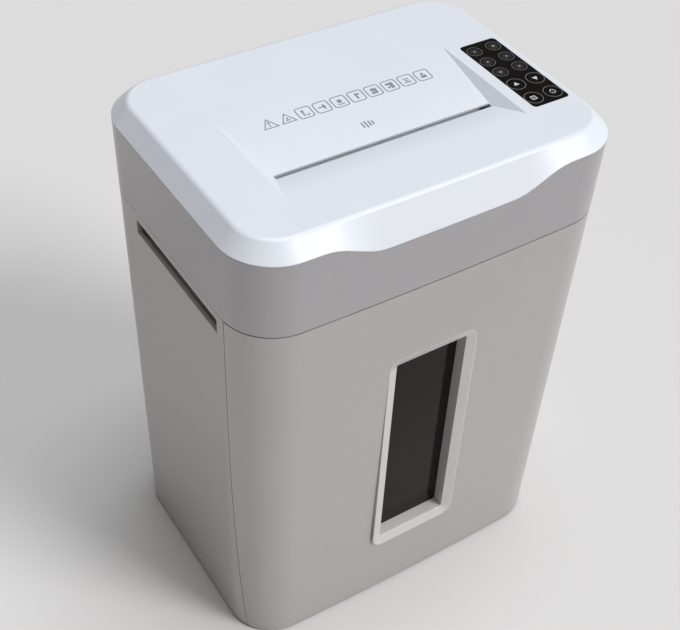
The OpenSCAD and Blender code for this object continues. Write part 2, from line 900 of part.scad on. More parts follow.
module rod_nuts() {
    color(zinc) on_feed() for (a = rods, x = [-plate_out_x - nut_t, gear_plate_x + plate_t])
        along_x(x, a) difference() {
            cylinder(r = nut_r, h = nut_t, $fn = 6);
            translate([0, 0, -over]) cylinder(r = rod_r, h = nut_t + 2*over, $fn = 32);
        }
}

module shaft_bushes() {
    color(copper) on_feed() for (a = [front_axis, rear_axis], x = [-plate_x - plate_t/2, plate_x + plate_t/2])
        along_x(x - bush_l/2, a) difference() {
            cylinder(r = bush_r, h = bush_l, $fn = 48);
            translate([0, 0, -over])
                cylinder(r = journal_r + run_fit, h = bush_l + 2*over, $fn = 48);
        }
}

// Stripper comb: a bar with one finger between each two discs; out is -1 in front, 1 behind
module comb(axis, out, first_finger) {
    bar_y = axis[0] + out*(disc_r + 9);
    tip_y = axis[0] + out*(hub_r + 1);
    finger_t = disc_pitch - disc_t - 1;
    color(steel) on_feed() {
        translate([0, bar_y, axis[1]]) cube([2*plate_x, 8, 14], center = true);
        for (i = [0:disc_count - 1])
            translate([-stack_l/2 + first_finger + i*disc_pitch + disc_t + 0.5,
                min(bar_y, tip_y), axis[1] - 5])
                cube([finger_t, abs(bar_y - tip_y), 10]);
    }
}

module comb_front() {
    comb(front_axis, -1, 0);
}

module comb_rear() {
    comb(rear_axis, 1, -disc_pitch/2);
}

module cutter_shaft(axis, right_x) {
    hex_l = stack_l + 4;
    left_x = -plate_out_x - 3;
    color(steel) on_feed() {
        along_x(-hex_l/2, axis) cylinder(r = hex_r, h = hex_l, $fn = 6);
        along_x(left_x, axis) cylinder(r = journal_r, h = right_x - left_x, $fn = 48);
    }
}

module cutter_shaft_front() {
    cutter_shaft(front_axis, plane_a + gear_t);
}

module cutter_shaft_rear() {
    cutter_shaft(rear_axis, plane_b + gear_t + 1);
}

// One cutter: hub, disc and four hooked teeth
module cutter(disc_x) {
    body_r = disc_r - 1.6;
    difference() {
        union() {
            cylinder(r = hub_r, h = disc_pitch, $fn = 48);
            translate([0, 0, disc_x]) {
                cylinder(r = body_r, h = disc_t, $fn = 48);
                for (i = [0:3])
                    rotate(90*i) linear_extrude(disc_t)
                        polygon([polar(body_r - 1, 0), polar(disc_r, 0), polar(body_r - 1, 24)]);
            }
        }
        translate([0, 0, -over])
            cylinder(r = hex_r + run_fit, h = disc_pitch + 2*over, $fn = 6);
    }
}

module cutter_stack(axis, disc_x) {
    color(steel) on_feed() for (i = [0:disc_count - 1])
        along_x(-stack_l/2 + i*disc_pitch, axis) cutter(disc_x);
}

module cutter_discs_front() {
    cutter_stack(front_axis, 0);
}

module cutter_discs_rear() {
    cutter_stack(rear_axis, disc_pitch/2);
}

// ---------------------------------------------------------------- gears and motor

module sync_gear(axis, phase) {
    color(steel) on_feed() along_x(plane_a, axis) difference() {
        gear(sync_module, sync_teeth, phase);
        translate([0, 0, -over]) cylinder(r = journal_r, h = gear_t + 2*over, $fn = 48);
    }
}

module sync_gear_front() {
    sync_gear(front_axis, 0);
}

module sync_gear_rear() {
    sync_gear(rear_axis, gap_phase(0, sync_teeth));
}

module drive_gear() {
    color(steel) on_feed() along_x(plane_b, rear_axis) difference() {
        gear(drive_module, drive_teeth, second_dir);
        translate([0, 0, -over]) cylinder(r = journal_r, h = gear_t + 2*over, $fn = 48);
    }
}

// Wheel and pinion in one piece on a fixed axle
module second_gear() {
    color(nylon) on_feed() difference() {
        union() {
            along_x(plane_a, second_axis) gear(mid_module, mid_teeth, first_dir);
            along_x(plane_a + gear_t, second_axis)
                cylinder(r = 7, h = plane_b - plane_a - gear_t, $fn = 48);
            along_x(plane_b, second_axis)
                gear(drive_module, drive_pinion_teeth, gap_phase(second_dir, drive_pinion_teeth));
        }
        along_x(plane_a - over, second_axis)
            cylinder(r = axle_r + run_fit, h = 3*gear_t, $fn = 48);
    }
}

module first_gear() {
    color(nylon) on_feed() difference() {
        union() {
            along_x(plane_a, first_axis)
                gear(mid_module, mid_pinion_teeth, gap_phase(first_dir, mid_pinion_teeth));
            along_x(plane_a + gear_t, first_axis)
                cylinder(r = 7, h = plane_c - plane_a - gear_t, $fn = 48);
            along_x(plane_c, first_axis) gear(fast_module, fast_teeth, motor_dir);
        }
        along_x(plane_a - over, first_axis)
            cylinder(r = axle_r + run_fit, h = 4*gear_t + 2*over, $fn = 48);
    }
}

module gear_axles() {
    color(steel) on_feed() for (a = [first_axis, second_axis])
        along_x(plate_x, a) cylinder(r = axle_r, h = gear_plate_x + plate_t - plate_x, $fn = 48);
}

can_wall = 2;
motor_back_x = plate_x - motor_l;
armature_r = motor_r - can_wall - 4;

module motor_can() {
    color(zinc) on_feed() along_x(motor_back_x, motor_axis) difference() {
        cylinder(r = motor_r, h = motor_l, $fn = 64);
        translate([0, 0, -over]) cylinder(r = motor_r - can_wall, h = motor_l - 2, $fn = 64);
        cylinder(r = axle_r + run_fit, h = motor_l + over, $fn = 48);
    }
}

module motor_end_cap() {
    color(dark) on_feed() along_x(motor_back_x - 4, motor_axis) difference() {
        union() {
            cylinder(r = motor_r, h = 4, $fn = 64);
            cylinder(r = motor_r - can_wall, h = 7, $fn = 64);
        }
        translate([0, 0, -over]) cylinder(r = axle_r + run_fit, h = 10, $fn = 48);
    }
}

module motor_rotor() {
    color(copper) on_feed() {
        along_x(motor_back_x - 22, motor_axis)
            cylinder(r = axle_r, h = plane_c + gear_t - motor_back_x + 22, $fn = 48);
        along_x(motor_back_x + 14, motor_axis)
            cylinder(r = armature_r, h = motor_l - 26, $fn = 64);
    }
}

module motor_pinion() {
    color(steel) on_feed() along_x(plane_c, motor_axis) difference() {
        gear(fast_module, fast_pinion_teeth, gap_phase(motor_dir, fast_pinion_teeth));
        translate([0, 0, -over]) cylinder(r = axle_r, h = gear_t + 2*over, $fn = 48);
    }
}

module motor_fan() {
    fan_r = motor_r - 4;
    color(white) on_feed() along_x(motor_back_x - 20, motor_axis) difference() {
        union() {
            cylinder(r = 8, h = 12, $fn = 48);
            cylinder(r = fan_r, h = 1.5, $fn = 64);
            for (i = [0:8])
                rotate(40*i) translate([6, -0.75, 0]) cube([fan_r - 7, 1.5, 10]);
        }
        translate([0, 0, -over]) cylinder(r = axle_r, h = 20, $fn = 48);
    }
}

// Flat thermal switch clipped on top of the motor can
module thermal_cutout() {
    color(dark) on_feed() difference() {
        translate([plate_x - motor_l/2, motor_axis[0], motor_axis[1] + motor_r + 1.5])
            cube([18, 9, 7], center = true);
        along_x(motor_back_x, motor_axis) cylinder(r = motor_r, h = motor_l, $fn = 64);
    }
}

// ---------------------------------------------------------------- electronics

power_x = -plate_out_x - 9;
power_y0 = front_axis[0] - 12;
power_l = 130;
power_h = 66;
power_z0 = plate_z + 8;

module power_board() {
    color("#2f6b45") on_feed()
        span([power_x - board_t, power_y0, power_z0],
            [power_x, power_y0 + power_l, power_z0 + power_h]);
}

module board_standoffs() {
    color(zinc) on_feed() for (y = [power_y0 + 12, power_y0 + power_l - 6], z = [power_z0 + 7, power_z0 + power_h - 8])
        along_x(power_x, [y, z]) cylinder(r = 3, h = 9, $fn = 6);
}

module board_parts() {
    face_x = power_x - board_t;
    color(dark) on_feed() {
        span([face_x - 14, power_y0 + 70, power_z0 + 12], [face_x, power_y0 + 98, power_z0 + 36]);
        span([face_x - 10, power_y0 + 34, power_z0 + 40], [face_x, power_y0 + 54, power_z0 + 56]);
        along_x(face_x - 16, [power_y0 + 22, power_z0 + 22]) cylinder(r = 8, h = 16, $fn = 32);
        along_x(face_x - 12, [power_y0 + 44, power_z0 + 20]) cylinder(r = 6, h = 12, $fn = 32);
        along_x(face_x - 12, [power_y0 + 112, power_z0 + 50]) cylinder(r = 6, h = 12, $fn = 32);
    }
}

cabinet_left();
cabinet_right();
cabinet_rear();
base_tray();
top_frame();
grip_left();
grip_right();
rubber_feet();
bin_runners();
base_screws();
head_housing();
head_tray();
top_cover();
feed_throat();
safety_symbols();
head_screws();
keypad_panel();
keypad_board();
indicator_lenses();
key_power();
key_auto();
key_forward();
key_reverse();
cord_gland();
interlock_switch();
interlock_plunger();
bin_bucket();
bin_front();
window_bezel();
window_pane();
bin_screws();
side_plate_left();
side_plate_right();
gear_plate();
tie_rods();
rod_nuts();
shaft_bushes();
comb_front();
comb_rear();
cutter_shaft_front();
cutter_shaft_rear();
cutter_discs_front();
cutter_discs_rear();
sync_gear_front();
sync_gear_rear();
drive_gear();
second_gear();
first_gear();
gear_axles();
motor_can();
motor_end_cap();
motor_rotor();
motor_pinion();
motor_fan();
thermal_cutout();
power_board();
board_standoffs();
board_parts();
paper_sensors();
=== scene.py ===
"""Visual model of a paper shredder, built round the fixed frame of its CAD model."""

import json
import logging
import math
from contextlib import contextmanager
from dataclasses import dataclass, field
from enum import Enum
from typing import Callable, Iterator, Optional, Sequence

import bmesh
import bpy
from mathutils import Matrix, Vector


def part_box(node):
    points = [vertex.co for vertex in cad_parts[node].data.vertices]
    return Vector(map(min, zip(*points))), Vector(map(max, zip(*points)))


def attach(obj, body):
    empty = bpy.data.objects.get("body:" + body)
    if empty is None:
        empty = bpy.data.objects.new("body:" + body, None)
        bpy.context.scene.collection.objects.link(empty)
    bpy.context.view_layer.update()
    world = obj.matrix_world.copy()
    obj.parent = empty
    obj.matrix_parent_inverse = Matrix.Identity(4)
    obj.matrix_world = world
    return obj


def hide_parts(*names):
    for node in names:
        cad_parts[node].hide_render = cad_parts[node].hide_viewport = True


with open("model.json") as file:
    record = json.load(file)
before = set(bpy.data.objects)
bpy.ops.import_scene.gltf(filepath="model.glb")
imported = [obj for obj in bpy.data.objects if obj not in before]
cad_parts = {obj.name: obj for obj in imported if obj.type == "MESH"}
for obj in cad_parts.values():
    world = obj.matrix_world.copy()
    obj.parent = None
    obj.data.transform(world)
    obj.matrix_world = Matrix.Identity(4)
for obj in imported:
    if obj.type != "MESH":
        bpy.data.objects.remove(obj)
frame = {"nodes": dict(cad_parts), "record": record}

LOG = logging.getLogger("shredder")
MM = 0.001
# Least share of its length that an edge or a normal has along an axis to count as straight
STRAIGHT = 0.999
# How far a cutter reaches past what it cuts, and how near a vertex is to a height to be on it
PAST = 20.0
NEAR = 0.02
Point = tuple[float, float, float]
Solid = bpy.types.Object


# ---------------------------------------------------------------- bench: modelling by hand

class Pick(Enum):
    """What a selection in edit mode is made of."""

    VERTS = "VERT"
    EDGES = "EDGE"
    FACES = "FACE"


def metres(values: Sequence[float]) -> Vector:
    """Millimetres as a vector in metres."""
    return Vector([v * MM for v in values])


def box_mm(node: str) -> tuple[Vector, Vector]:
    """Lowest and highest corner of a CAD node in millimetres."""
    low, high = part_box(node)
    return Vector(low) / MM, Vector(high) / MM


def slide(shift: Sequence[float]) -> None:
    """Moves what is selected by a shift in millimetres."""
    bpy.ops.transform.translate(value=metres(shift))


def slice_at(axis: int, place: float) -> None:
    """Divides the whole mesh in edit mode at a place along one axis, in millimetres."""
    normal = [float(i == axis) for i in range(3)]
    bpy.ops.mesh.select_all(action="SELECT")
    bpy.ops.mesh.bisect(plane_co=[part * place * MM for part in normal], plane_no=normal)


def middle_of(node: str) -> Vector:
    """Middle of a CAD node's box in millimetres."""
    low, high = box_mm(node)
    return (low + high) / 2


def take_up(piece: Solid) -> None:
    """Makes one piece the only selected and active object."""
    bpy.ops.object.select_all(action="DESELECT")
    piece.select_set(True)
    bpy.context.view_layer.objects.active = piece


def block(name: str, low: Sequence[float], high: Sequence[float]) -> Solid:
    """Adds a box between two corners.

    Args:
        name: name of the new object.
        low: lowest corner in millimetres.
        high: highest corner in millimetres.

    Returns:
        The new object, with its place in its mesh.
    """
    low_v, high_v = metres(low), metres(high)
    bpy.ops.object.select_all(action="DESELECT")
    bpy.ops.mesh.primitive_cube_add(size=1, location=(low_v + high_v) / 2, scale=high_v - low_v)
    piece = bpy.context.object
    piece.name = piece.data.name = name
    bpy.ops.object.transform_apply(location=True, rotation=True, scale=True)
    return piece


def drum(name: str, base: Sequence[float], radius: float, height: float, sides: int = 48,
         lean: Point = (0.0, 0.0, 0.0)) -> Solid:
    """Adds an upright prism of many sides standing on a point.

    Args:
        name: name of the new object.
        base: middle of the foot in millimetres.
        radius: radius in millimetres.
        height: height in millimetres.
        sides: number of sides.
        lean: rotation in radians about the middle.

    Returns:
        The new object, with its place in its mesh.
    """
    middle = Vector(base) + Matrix.Rotation(lean[0], 3, "X") @ Vector((0, 0, height / 2))
    bpy.ops.object.select_all(action="DESELECT")
    bpy.ops.mesh.primitive_cylinder_add(vertices=sides, radius=radius * MM, depth=height * MM,
                                        location=metres(middle), rotation=lean)
    piece = bpy.context.object
    piece.name = piece.data.name = name
    bpy.ops.object.transform_apply(location=True, rotation=True, scale=True)
    return piece


@contextmanager
def editing(piece: Solid) -> Iterator[None]:
    """Edit mode on one piece, left again at the end."""
    take_up(piece)
    bpy.ops.object.mode_set(mode="EDIT")
    bpy.ops.mesh.select_all(action="DESELECT")
    yield
    bpy.ops.object.mode_set(mode="OBJECT")


def select(piece: Solid, kind: Pick, test: Callable[..., bool]) -> int:
    """Selects the parts of the mesh in edit mode that pass a test.

    Args:
        piece: the piece in edit mode.
        kind: vertices, edges or faces.
        test: gets a mesh element and says whether it is wanted.

    Returns:
        How many were selected.
    """
    bpy.ops.mesh.select_mode(type=kind.value)
    bpy.ops.mesh.select_all(action="DESELECT")
    mesh = bmesh.from_edit_mesh(piece.data)
    mesh.normal_update()
    items = {Pick.VERTS: mesh.verts, Pick.EDGES: mesh.edges, Pick.FACES: mesh.faces}[kind]
    wanted = [item for item in items if test(item)]
    for item in wanted:
        item.select_set(True)
    mesh.select_flush_mode()
    bmesh.update_edit_mesh(piece.data)
    return len(wanted)


def runs_along(axis: int) -> Callable[[bmesh.types.BMEdge], bool]:
    """A test for edges that run straight along one axis, 0 to 2."""
    def test(edge: bmesh.types.BMEdge) -> bool:
        """Whether the edge runs along the axis."""
        run = edge.verts[1].co - edge.verts[0].co
        return abs(run[axis]) > STRAIGHT * run.length
    return test


def looks_along(axis: int, side: int) -> Callable[[bmesh.types.BMFace], bool]:
    """A test for faces that look along one axis, to its side 1 or -1."""
    return lambda face: face.normal[axis] * side > STRAIGHT


along_x, along_y, is_upright = (runs_along(axis) for axis in range(3))
faces_up, faces_down = looks_along(2, 1), looks_along(2, -1)
faces_front, faces_back = looks_along(1, -1), looks_along(1, 1)


def round_corners(piece: Solid, radius: float, segments: int = 8,
                  test: Callable[..., bool] = is_upright) -> None:
    """Bevels chosen edges of a piece to a radius in millimetres."""
    with editing(piece):
        if select(piece, Pick.EDGES, test):
            bpy.ops.mesh.bevel(offset=radius * MM, offset_type="OFFSET", segments=segments,
                               profile=0.5, affect="EDGES", clamp_overlap=False)


def add_modifier(piece: Solid, kind: str, **settings: object) -> None:
    """Adds a modifier with its settings and applies it."""
    take_up(piece)
    modifier = piece.modifiers.new(kind.title(), kind)
    for name, value in settings.items():
        setattr(modifier, name, value)
    bpy.ops.object.modifier_apply(modifier=modifier.name)


def combine(piece: Solid, other: Solid, operation: str) -> None:
    """Applies a boolean with another object, which is then removed."""
    add_modifier(piece, "BOOLEAN", operation=operation, object=other, solver="EXACT")
    bpy.data.objects.remove(other)


def cut(piece: Solid, cutter: Solid) -> None:
    """Takes a cutter's shape out of a piece and throws the cutter away."""
    combine(piece, cutter, "DIFFERENCE")


def weld(piece: Solid, extra: Solid) -> None:
    """Joins another solid to a piece so that they are one skin."""
    combine(piece, extra, "UNION")


def ease_edges(piece: Solid, width: float, segments: int = 2, angle: float = 32.0) -> None:
    """Breaks the sharp edges of a piece by a small round of a width in millimetres."""
    add_modifier(piece, "BEVEL", width=width * MM, segments=segments, limit_method="ANGLE",
                 angle_limit=math.radians(angle), use_clamp_overlap=True, profile=0.5)


def shade(piece: Solid, angle: float = 40.0) -> None:
    """Smooth shading up to an angle, with large flat faces kept flat."""
    take_up(piece)
    bpy.ops.object.shade_smooth_by_angle(angle=math.radians(angle))
    add_modifier(piece, "WEIGHTED_NORMAL", keep_sharp=True, weight=80)


def copy_to(piece: Solid, name: str, shift: Sequence[float]) -> Solid:
    """Copies a piece, mesh and all, and moves the copy.

    Args:
        piece: what to copy.
        name: name of the copy.
        shift: how far to move it, in millimetres.

    Returns:
        The copy, with its place in its mesh.
    """
    take_up(piece)
    bpy.ops.object.duplicate(linked=False)
    twin = bpy.context.object
    twin.name = twin.data.name = name
    slide(shift)
    bpy.ops.object.transform_apply(location=True, rotation=True, scale=True)
    return twin


def merge(name: str, pieces: Sequence[Solid]) -> Solid:
    """Joins loose pieces into one object with one name."""
    take_up(pieces[0])
    for piece in pieces[1:]:
        piece.select_set(True)
    if len(pieces) > 1:
        bpy.ops.object.join()
    whole = bpy.context.object
    whole.name = whole.data.name = name
    return whole


# ---------------------------------------------------------------- finishes

def linear(code: str) -> tuple[float, float, float, float]:
    """An sRGB hex colour as linear red, green and blue, fully opaque."""
    channels = [int(code[i:i + 2], 16) / 255 for i in (1, 3, 5)]
    flat = [c / 12.92 if c <= 0.04045 else ((c + 0.055) / 1.055) ** 2.4 for c in channels]
    return (*flat, 1.0)


def add_node(tree: bpy.types.NodeTree, kind: str, inputs: Optional[dict] = None,
             **settings: object) -> bpy.types.Node:
    """Adds a shader node with its settings, values and links.

    Args:
        tree: the node tree it goes into.
        kind: the node's type name.
        inputs: socket name or number to a value, or to an output socket that is linked to it.
        settings: attributes of the node.

    Returns:
        The new node.
    """
    node = tree.nodes.new(kind)
    for name, value in settings.items():
        setattr(node, name, value)
    for key, value in (inputs or {}).items():
        if isinstance(value, bpy.types.NodeSocket):
            tree.links.new(value, node.inputs[key])
        else:
            node.inputs[key].default_value = value
    return node


@dataclass(frozen=True)
class Finish:
    """A moulded, rolled or printed surface: its colour, gloss and fine grain.

    Lengths are the real sizes of the pattern in millimetres. Where the real grain is too fine
    to show, it is drawn as coarse as it needs to be, and the comment at the finish says so.
    """

    name: str
    colour: str
    second: str
    roughness: float
    grain: float = 1.4
    relief: float = 0.02
    cloud: float = 60.0
    spread: float = 0.05
    metallic: float = 0.0
    ior: float = 1.5
    coat: float = 0.0
    coat_roughness: float = 0.08
    flake: float = 0.0
    flake_colour: str = "#ffffff"
    transmission: float = 0.0
    specular: float = 0.5
    stretch: Point = (1.0, 1.0, 1.0)

    def material(self) -> bpy.types.Material:
        """The material of this finish, made once."""
        made = bpy.data.materials.get(self.name)
        return made if made else self._make()

    def _make(self) -> bpy.types.Material:
        """Builds the node tree: clouded colour, uneven gloss, fine relief and flakes.

        Returns:
            The new material.
        """
        material = bpy.data.materials.new(self.name)
        material.use_nodes = True
        tree = material.node_tree
        tree.nodes.clear()
        place = add_node(tree, "ShaderNodeTexCoord").outputs["Object"]
        grain_place = add_node(tree, "ShaderNodeMapping", {"Vector": place, "Scale": self.stretch})
        grain = add_node(tree, "ShaderNodeTexNoise",
                         {"Vector": grain_place.outputs["Vector"], "Scale": 1 / (self.grain * MM),
                          "Detail": 3.0, "Roughness": 0.6})
        cloud = add_node(tree, "ShaderNodeTexNoise",
                         {"Vector": place, "Scale": 1 / (self.cloud * MM), "Detail": 4.0})
        tint = add_node(tree, "ShaderNodeMix",
                        {"Factor": cloud.outputs["Fac"], "A": linear(self.colour),
                         "B": linear(self.second)}, data_type="RGBA")
        colour = tint.outputs["Result"]
        if self.flake:
            cells = add_node(tree, "ShaderNodeTexVoronoi",
                             {"Vector": place, "Scale": 1 / (self.flake * MM)})
            share = add_node(tree, "ShaderNodeMapRange",
                             {"Value": cells.outputs["Color"], "From Min": 0.55, "From Max": 1.0,
                              "To Min": 0.0, "To Max": 0.22})
            colour = add_node(tree, "ShaderNodeMix",
                              {"Factor": share.outputs["Result"], "A": colour,
                               "B": linear(self.flake_colour)}, data_type="RGBA").outputs["Result"]
        gloss = add_node(tree, "ShaderNodeMapRange",
                         {"Value": grain.outputs["Fac"], "From Min": 0.25, "From Max": 0.75,
                          "To Min": max(0.02, self.roughness - self.spread),
                          "To Max": min(1.0, self.roughness + self.spread)})
        bump = add_node(tree, "ShaderNodeBump",
                        {"Height": grain.outputs["Fac"], "Strength": 0.35,
                         "Distance": self.relief * MM})
        surface = add_node(tree, "ShaderNodeBsdfPrincipled",
                           {"Base Color": colour, "Roughness": gloss.outputs["Result"],
                            "Metallic": self.metallic, "IOR": self.ior,
                            "Coat Weight": self.coat, "Coat Roughness": self.coat_roughness,
                            "Transmission Weight": self.transmission,
                            "Specular IOR Level": self.specular,
                            "Normal": bump.outputs["Normal"]})
        add_node(tree, "ShaderNodeOutputMaterial", {"Surface": surface.outputs["BSDF"]})
        material.diffuse_color = linear(self.colour)
        return material


# Injection-moulded ABS, cool white, fine spark-eroded texture: a soft broad highlight
WHITE_ABS = Finish("satin_white_abs", "#d5dade", "#d1d5da", 0.42, grain=1.1, relief=0.03, spread=0.06)
# ABS with aluminium flake in it: a warm grey that glitters a little and turns with the light;
# the 0.1 mm flakes are drawn 0.8 mm wide so that they show
TAUPE_ABS = Finish("flake_taupe_abs", "#afafaa", "#aaaaa5", 0.36, grain=1.3, relief=0.008, cloud=90,
                   metallic=0.3, coat=0.25, coat_roughness=0.22, flake=0.8, flake_colour="#c4c1bc")
# The same plastic on the head, a little darker and cooler: its cool, purplish cast is painted reflection
HEAD_ABS = Finish("flake_head_abs", "#a7a5a7", "#a2a0a2", 0.32, grain=1.3, relief=0.006, cloud=90,
                  metallic=0.3, coat=0.3, coat_roughness=0.2, flake=0.8, flake_colour="#bfbdbf")
# The same plastic from a polished mould: lighter and smoother
FRAME_ABS = Finish("polished_taupe_abs", "#c4c3bf", "#bfbeba", 0.3, grain=3.0, relief=0.003,
                   spread=0.02, coat=0.4, coat_roughness=0.12)
# Black ABS inside the head: matte, hides in the shade
DARK_ABS = Finish("matte_black_abs", "#2b2a2a", "#242323", 0.6, grain=1.2, relief=0.05)
# Polypropylene bin: dark grey, waxy, with faint flow clouds
BUCKET_PP = Finish("waxy_grey_polypropylene", "#3a3a3c", "#323234", 0.48, cloud=45, relief=0.03, ior=1.49)
# Acrylic-faced keypad: deep black with a mirror gloss and faint finger smears
GLOSS_BLACK = Finish("gloss_black_acrylic", "#070606", "#090808", 0.14, grain=9.0, relief=0.004,
                     spread=0.04, ior=1.49, specular=0.2)
# Tinted polycarbonate windows over the lamps: black until they are lit
LENS_PC = Finish("tinted_polycarbonate", "#17171a", "#1b1b1f", 0.16, grain=6.0, relief=0.004,
                 coat=0.3, ior=1.58)
# Pad-printed ink: thin, matte, a little uneven
GREY_INK = Finish("pad_printed_grey_ink", "#85868a", "#797a7e", 0.6, grain=0.6, relief=0.01, cloud=6)
WHITE_INK = Finish("pad_printed_white_ink", "#c9c9c6", "#bdbdba", 0.5, grain=0.6, relief=0.01, cloud=4)
LAMP_INK = Finish("pad_printed_lamp_ink", "#8c8b89", "#807f7d", 0.5, grain=0.6, relief=0.01, cloud=4)
RING_INK = Finish("pad_printed_ring_ink", "#6c6a69", "#605e5d", 0.5, grain=0.6, relief=0.01, cloud=4)
# Smoked acrylic window: dark, clean and mirror-like, with the bin just showing through
SMOKED_ACRYLIC = Finish("smoked_acrylic", "#0c0a09", "#1b1916", 0.05, grain=30.0, relief=0.02,
                        cloud=55, spread=0.02, ior=1.49, specular=0.12, transmission=0.05)
# Hardened steel, ground along X and oiled: fine scratches, dark sheen
TOOL_STEEL = Finish("ground_tool_steel", "#7e8287", "#6a6e73", 0.34, grain=0.8, relief=0.02,
                    metallic=1.0, spread=0.1, stretch=(0.15, 1.0, 1.0))
# Zinc-plated sheet: pale blue-grey with spangle clouds
ZINC_STEEL = Finish("zinc_plated_steel", "#b9bdc2", "#a5aab0", 0.32, grain=2.5, relief=0.01,
                    cloud=14, metallic=1.0, spread=0.08)
# Sintered bronze bush: porous brown metal
BRONZE = Finish("sintered_bronze", "#9b7045", "#86603a", 0.5, grain=0.5, relief=0.05, metallic=1.0)
# Enamelled copper winding: dark orange with a varnish coat
COPPER = Finish("enamelled_copper_winding", "#94552d", "#7c4624", 0.36, grain=0.9, relief=0.06,
                metallic=0.8, coat=0.5, stretch=(0.1, 1.0, 1.0))
# Natural nylon: milky, slightly waxy
NYLON = Finish("natural_nylon", "#dad6c8", "#cfcbbc", 0.46, cloud=20, ior=1.53)
# Moulded rubber foot: black, dusty matte
RUBBER = Finish("black_moulded_rubber", "#262525", "#1f1e1e", 0.82, grain=0.9, relief=0.08, ior=1.52)
# Fibreglass board under solder mask: deep green, semi-gloss
BOARD = Finish("solder_masked_board", "#1f5236", "#1a472e", 0.3, grain=1.8, relief=0.02, cloud=12)

SLOT_FINISH: dict[str, Finish] = {
    "white_plastic": WHITE_ABS, "taupe_plastic": TAUPE_ABS, "frame_plastic": FRAME_ABS,
    "dark_plastic": DARK_ABS, "bucket_plastic": BUCKET_PP, "gloss_black": GLOSS_BLACK,
    "lens_plastic": LENS_PC, "symbol_ink": GREY_INK, "smoked_pane": SMOKED_ACRYLIC,
    "tool_steel": TOOL_STEEL, "zinc_steel": ZINC_STEEL, "bronze": BRONZE,
    "rotor_copper": COPPER, "nylon": NYLON, "rubber": RUBBER, "board_green": BOARD,
}


def dress(piece: Solid, finish: Finish, slot: str, body: str, *nodes: str) -> None:
    """Gives a finished piece its material and body, and hides the CAD nodes that it stands for.

    Args:
        piece: the finished piece.
        finish: its finish.
        slot: the record's material slot; not used.
        body: the CAD body that it rides on.
        nodes: the CAD nodes that it replaces.
    """
    piece.data.materials.append(finish.material())
    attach(piece, body)
    if nodes:
        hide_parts(*nodes)
    LOG.info("%s: %d faces on %s", piece.name, len(piece.data.polygons), body)


def dress_frame() -> None:
    """Gives every CAD node that stays its finish, through the record's slots."""
    slot_of = {part["node"]: part["material_slot"] for part in frame["record"]["subparts"]}
    for name, node in frame["nodes"].items():
        finish = SLOT_FINISH[slot_of[name]]
        for index in range(len(node.data.materials)):
            node.data.materials[index] = finish.material()
        if not node.data.materials:
            node.data.materials.append(finish.material())


# ---------------------------------------------------------------- outline shared by the shells

